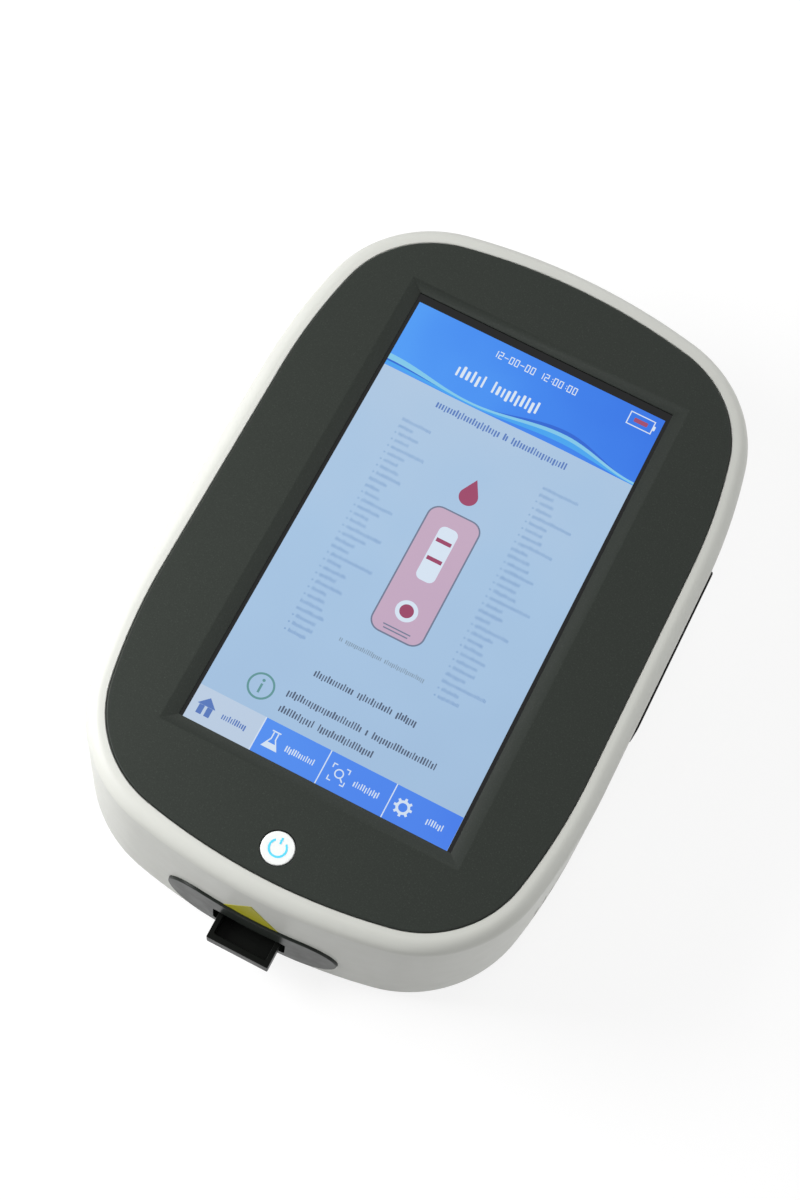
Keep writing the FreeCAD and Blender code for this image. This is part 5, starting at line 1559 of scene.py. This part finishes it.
def finder(centre: Point) -> list[Outline]:
    """A lens between four corner marks, in millimetres.

    Args:
        centre: Its middle.

    Returns:
        The outlines of its parts.
    """
    u, v = centre
    handle = [(1.7, -1.9), (2.0, -1.6), (1.0, -0.6), (0.7, -0.9)]
    marks = [ring((u, v + 0.3), 1.25, 0.4), shifted(centre, handle)]
    for a, b in CORNERS:
        marks += [bar((u + a * 2.1, v + b * 2.6), 1.3, 0.35), bar((u + a * 2.6, v + b * 2.0), 0.35, 1.4)]
    return marks


def cog(centre: Point) -> list[Outline]:
    """A cog sign, in millimetres.

    Args:
        centre: Its middle.

    Returns:
        The outlines of its parts.
    """
    marks = [ring(centre, 1.75, 0.8)]
    tooth = ((2.1, -0.42), (2.85, -0.36), (2.85, 0.36), (2.1, 0.42))
    for step in range(8):
        turn = Matrix.Rotation(math.tau * step / 8, 2)
        marks.append(shifted(centre, [tuple(turn @ Vector(corner)) for corner in tooth]))
    return marks


def drop(centre: Point, radius: float) -> Outline:
    """A drop with its point up, about the middle of its round part, in millimetres."""
    return metres([*arc(centre, radius, 150, 390, 20), (centre[0], centre[1] + 2.1 * radius)])


@dataclass
class Screen:
    """The cover glass and the page that is lit under it, with plain bars where words would be."""

    centre_y: float = 5.9 * MM
    half_width: float = 42.96 * MM
    half_height: float = 77.1 * MM
    glass_top: float = 62.5 * MM
    film: float = 0.02 * MM
    tab_top: float = -66.0 * MM
    wave_steps: int = 48

    def build(self) -> None:
        """Build the glass and everything that is lit under it."""
        low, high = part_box("touch_glass")
        dress(block(low, high, 0.2 * MM), "front_glass", SCREEN_GLASS, Slot.GLASS, "touch_glass")
        self.show("page", PAGE, 1, [(u * self.half_width, v * self.half_height) for u, v in CORNERS])
        self.header()
        self.lists()
        self.picture()
        self.notes()
        self.tabs()

    def show(self, name: str, finish: Lit, layer: int, *outlines: Sequence[Point]) -> None:
        """Lay flat shapes on the glass as one lit piece.

        Args:
            name: What the shapes are.
            finish: Their colour.
            layer: How many films deep they stack.
            *outlines: Each shape's outline, from the screen's centre.
        """
        bottom = self.glass_top + (layer - 1) * self.film
        shapes = joined(prism([(u, v + self.centre_y) for u, v in outline], bottom, bottom + self.film)
                        for outline in outlines)
        dress(shapes, f"screen_{name}", finish, Slot.DISPLAY)

    def ribbon(self, upper: Sequence[float], lower: Sequence[float]) -> Outline:
        """A ribbon between two waves.

        Args:
            upper: The upper wave's heights at the left edge, the dip, the crest and the right edge.
            lower: The lower wave's.

        Returns:
            The ribbon's outline.
        """
        shares = [index / self.wave_steps for index in range(self.wave_steps + 1)]
        bottom, top = ([((2 * share - 1) * self.half_width, wave(stops, share) * MM) for share in shares]
                       for stops in (lower, upper))
        return bottom + top[::-1]

    def header(self) -> None:
        """The blue header with its waves, clock, title bars and battery sign."""
        waves = (
            ("header", HEADER, (77.1, 77.1, 77.1, 77.1), (52.4, 52.2, 52.6, 52.3)),
            ("wave_deep", WAVE_DEEP, (54.6, 53.4, 59.0, 53.2), (53.4, 52.7, 56.9, 52.8)),
            ("wave_mid", WAVE_MID, (54.0, 53.0, 57.3, 52.9), (53.0, 52.4, 54.4, 52.4)),
            ("wave_pale", WAVE_PALE, (56.6, 53.5, 57.6, 53.3), (54.6, 52.8, 56.3, 52.6)),
        )
        for layer, (name, finish, upper, lower) in enumerate(waves, 2):
            self.show(name, finish, layer, self.ribbon(upper, lower))
        self.show("header_marks", INK_WHITE, 3, *digits("12-00-00 12:00:00", (-14.4, 71.4), 2.3),
                  *words((-22.5, 61.2), 3.3, (10.5, 16.5), 2.0), *frame_of((36.4, 72.9), 8.2, 4.4, 0.35),
                  pad((40.9, 72.9), 0.8, 1.6, 0.2))
        self.show("battery_level", MAROON, 3, pad((36.4, 72.9), 4.6, 1.5, 0.3))
        self.show("title", INK_BLUE, 2, *words((-22.6, 47.7), 1.9, (22.0, 1.6, 19.0), 1.2))

    def lists(self) -> None:
        """The two pale lists beside the picture."""
        chance = random.Random(7)
        outlines = []
        for left, rows, widest in ((-29.6, 32, 14.0), (18.8, 31, 15.5)):
            for row in range(rows):
                middle = 38.2 - row * 2.5
                heading = row % 9 in (0, 1)
                width = chance.uniform(4.5, 8.0) if row % 4 else chance.uniform(8.0, widest)
                outlines += words((left if heading else left + 1.2, middle), 0.95, (width,), 0.4)
                if not heading:
                    outlines.append(bar((left + 0.2, middle), 0.45, 0.45))
        self.show("lists", INK_LIST, 2, *outlines)

    def picture(self) -> None:
        """The picture in the middle: a test cassette with its well, window and two lines, under a drop."""
        well = (0, -17.5)
        self.show("cassette_edge", STONE, 2, pad((0, -4.5), 17.6, 45, 4, 8))
        self.show("cassette_face", PINK, 3, pad((0, -4.5), 16.6, 44, 3.5, 8))
        self.show("cassette_windows", INK_WHITE, 4, pad((0, 3.0), 6.2, 19, 2, 6), disc(well, 3.5))
        lines = [bar((0, middle), 5.0, 1.3) for middle in (7.5, 1.0)]
        self.show("cassette_lines", MAROON, 5, *lines, disc(well, 2.2), drop((0, 24.5), 3.0))
        grips = [bar((0, -24.0 - step * 1.1), 9.0 - step, 0.4) for step in (0, 1)]
        self.show("cassette_grips", STONE, 4, *grips)
        self.show("caption", INK_GREY, 2, *words((-13.8, -34.6), 1.2, (1.2, 12.0, 13.2), 0.9))

    def notes(self) -> None:
        """The three lines of notes at the foot of the page, with a round sign beside them."""
        rows = words((-15.4, -47.6), 1.75, (13.0, 11.5, 6.6), 1.3)
        rows += words((-19.6, -56.6), 1.75, (24.5, 1.0, 21.0), 1.2)
        rows += words((-19.6, -61.9), 1.75, (11.6, 18.0), 1.3)
        self.show("notes", INK_DARK, 2, *rows)
        u, v, radius, line = -27.2, -58.4, 4.2, 0.65
        self.show("sign_edge", TEAL, 2, disc((u, v), radius))
        self.show("sign_face", PAGE, 3, disc((u, v), radius - line))
        self.show("sign_marks", TEAL, 4, bar((u, v - 0.7), 0.7, 3.0), disc((u, v + 1.9), 0.48))

    def tabs(self) -> None:
        """The four tabs at the foot, the first one pale, each with a plain sign and a bar."""
        bounds = (-42.96, -21.2, 0.2, 21.6, 42.96)
        top, low = self.tab_top / MM, -self.half_height / MM
        middle, height = (top + low) / 2, top - low
        first, *others = [((left + right) / 2, right - left) for left, right in zip(bounds, bounds[1:])]
        self.show("tab_current", TAB_PALE, 2, bar((first[0], middle), first[1], height))
        self.show("tabs_other", TAB_BLUE, 2, *(bar((u, middle), width - 0.1, height) for u, width in others))
        white = [*(bar((u, middle), 0.35, height) for u in bounds[1:4]), *flask((-16.4, middle)),
                 *finder((5.2, middle)), *cog((26.0, middle))]
        for start, width in ((-12.2, 9.6), (10.0, 8.4), (33.6, 5.6)):
            white += words((start, middle - 0.4), 1.5, (width,), 0.5)
        self.show("tab_marks", INK_WHITE, 3, *white)
        self.show("tab_current_marks", INK_BLUE, 3, *house((-38.2, middle)),
                  *words((-33.0, middle - 0.4), 1.5, (8.0,), 0.5))


@dataclass
class Studio:
    """The floor, the light and the camera."""

    lens: float = 59.77
    sensor: float = 36
    near: float = 0.01
    place: tuple[float, float, float] = (0.05141, -0.20783, 0.62057)
    right: tuple[float, float, float] = (0.89019, 0.44977, 0.07263)
    down: tuple[float, float, float] = (0.44620, -0.82846, -0.33848)
    forward: tuple[float, float, float] = (-0.09207, 0.33372, -0.93817)
    aim: tuple[float, float, float] = (0, 0, 0.03)
    floor_half: float = 3.0
    floor_z: float = -0.0002
    floor_grey: float = 0.24
    sweep_reach: tuple[float, float] = (0.25, 0.9)
    sweep_level: tuple[float, float] = (0.81, 0.98)
    world: float = 0.28
    lamps: tuple[tuple[str, Sequence[float], float, float], ...] = (
        ("key", (-0.38, -0.12, 0.32), 0.28, 2.8),
        ("fill", (0.35, -1.1, 0.4), 0.8, 2.2),
        ("back", (0.1, 1.2, 0.4), 1.0, 6.0),
        ("side", (1.1, 0.25, 0.35), 0.8, 4.0),
    )

    def build(self) -> None:
        """Set up the view, the floor, the world and the lamps."""
        bpy.context.scene.view_settings.view_transform = "Standard"
        self.camera()
        self.floor()
        self.sky()
        for lamp in self.lamps:
            self.lamp(*lamp)

    def camera(self) -> None:
        """Place the camera by its own axes."""
        data = bpy.data.cameras.new("camera")
        data.lens, data.sensor_width, data.clip_start = self.lens, self.sensor, self.near
        axes = (Vector(self.right), -Vector(self.down), -Vector(self.forward))
        turn = Matrix([axis.normalized() for axis in axes]).transposed().to_4x4()
        camera = placed("camera", data)
        camera.matrix_world = Matrix.Translation(self.place) @ turn
        bpy.context.scene.camera = camera

    def seen(self, wiring: Wiring) -> Socket:
        """Whether a ray comes from the camera, or by way of gloss or glass, as 0 or 1.

        Args:
            wiring: The node tree to add to.

        Returns:
            The socket with the answer.
        """
        path = wiring.add("ShaderNodeLightPath").outputs
        seen = path["Is Camera Ray"]
        for other in ("Is Glossy Ray", "Is Transmission Ray"):
            seen = wiring.add("ShaderNodeMath", seen, path[other], operation="MAXIMUM").outputs[0]
        return seen

    def floor(self) -> None:
        """A wide pale floor that keeps the object's shadow and shows white."""
        shape = bmesh.new()
        bmesh.ops.create_grid(shape, x_segments=1, y_segments=1, size=self.floor_half)
        mesh = settled(shape, "floor")
        floor = placed("floor", mesh)
        floor.location.z = self.floor_z
        graph = Graph("floor")
        graph.preset(Base_Color=(*[self.floor_grey] * 3, 1), Roughness=0.9, Specular_IOR_Level=0.0,
                     Emission_Color=(1, 1, 1, 1))
        strength = graph.add("ShaderNodeMath", self.seen(graph), self.sweep(graph), operation="MULTIPLY")
        graph.link(strength.outputs[0], graph.shader.inputs["Emission Strength"])
        mesh.materials.append(graph.material)

    def sweep(self, graph: Graph) -> Socket:
        """How pale the floor shows: a little down round the object, for its shadow, and white far out.

        Args:
            graph: The floor's material.

        Returns:
            The socket with the level.
        """
        distance = graph.add("ShaderNodeVectorMath", graph.place, operation="LENGTH").outputs["Value"]
        near, far = self.sweep_reach
        low, high = self.sweep_level
        return graph.add("ShaderNodeMapRange", distance, From_Min=near, From_Max=far, To_Min=low,
                         To_Max=high).outputs["Result"]

    def sky(self) -> None:
        """An even pale world that shows white."""
        world = bpy.data.worlds.new("studio")
        bpy.context.scene.world = world
        world.use_nodes = True
        wiring = Wiring(world.node_tree)
        background = wiring.tree.nodes["Background"].inputs
        background["Color"].default_value = (1, 1, 1, 1)
        strength = wiring.add("ShaderNodeMapRange", self.seen(wiring), To_Min=self.world, To_Max=1.0)
        wiring.link(strength.outputs["Result"], background["Strength"])

    def lamp(self, name: str, place: Sequence[float], size: float, power: float) -> None:
        """Add a soft square lamp aimed at the object.

        Args:
            name: The lamp's name.
            place: Where it stands.
            size: How wide it is.
            power: Its power in watts.
        """
        data = bpy.data.lights.new(name, "AREA")
        data.size, data.energy = size, power
        lamp = placed(name, data)
        lamp.location = place
        lamp.rotation_euler = (Vector(self.aim) - Vector(place)).to_track_quat("-Z", "Y").to_euler()


def dress_nodes() -> None:
    """Give every node of the frame the finish of its record slot."""
    for part in frame["record"]["subparts"]:
        node = frame["nodes"][part["node"]]
        node.data.materials.clear()
        node.data.materials.append(SLOT_FINISH[part["material_slot"]].material())
        LOG.info("%s takes %s", part["node"], part["material_slot"])


PLATE = SlotPlate()
PORTS = Ports()
UNDERSIDE = Underside()


def main() -> None:
    """Build the studio and every sub-assembly, in order."""
    logging.basicConfig(level=logging.INFO, format="%(message)s")
    Studio().build()
    dress_nodes()
    housing = Housing()
    housing.build()
    PLATE.build(housing)
    for assembly in (PORTS, UNDERSIDE, TopCover(), Key(), Tray(), Screen()):
        assembly.build()


if __name__ == "__main__":
    main()
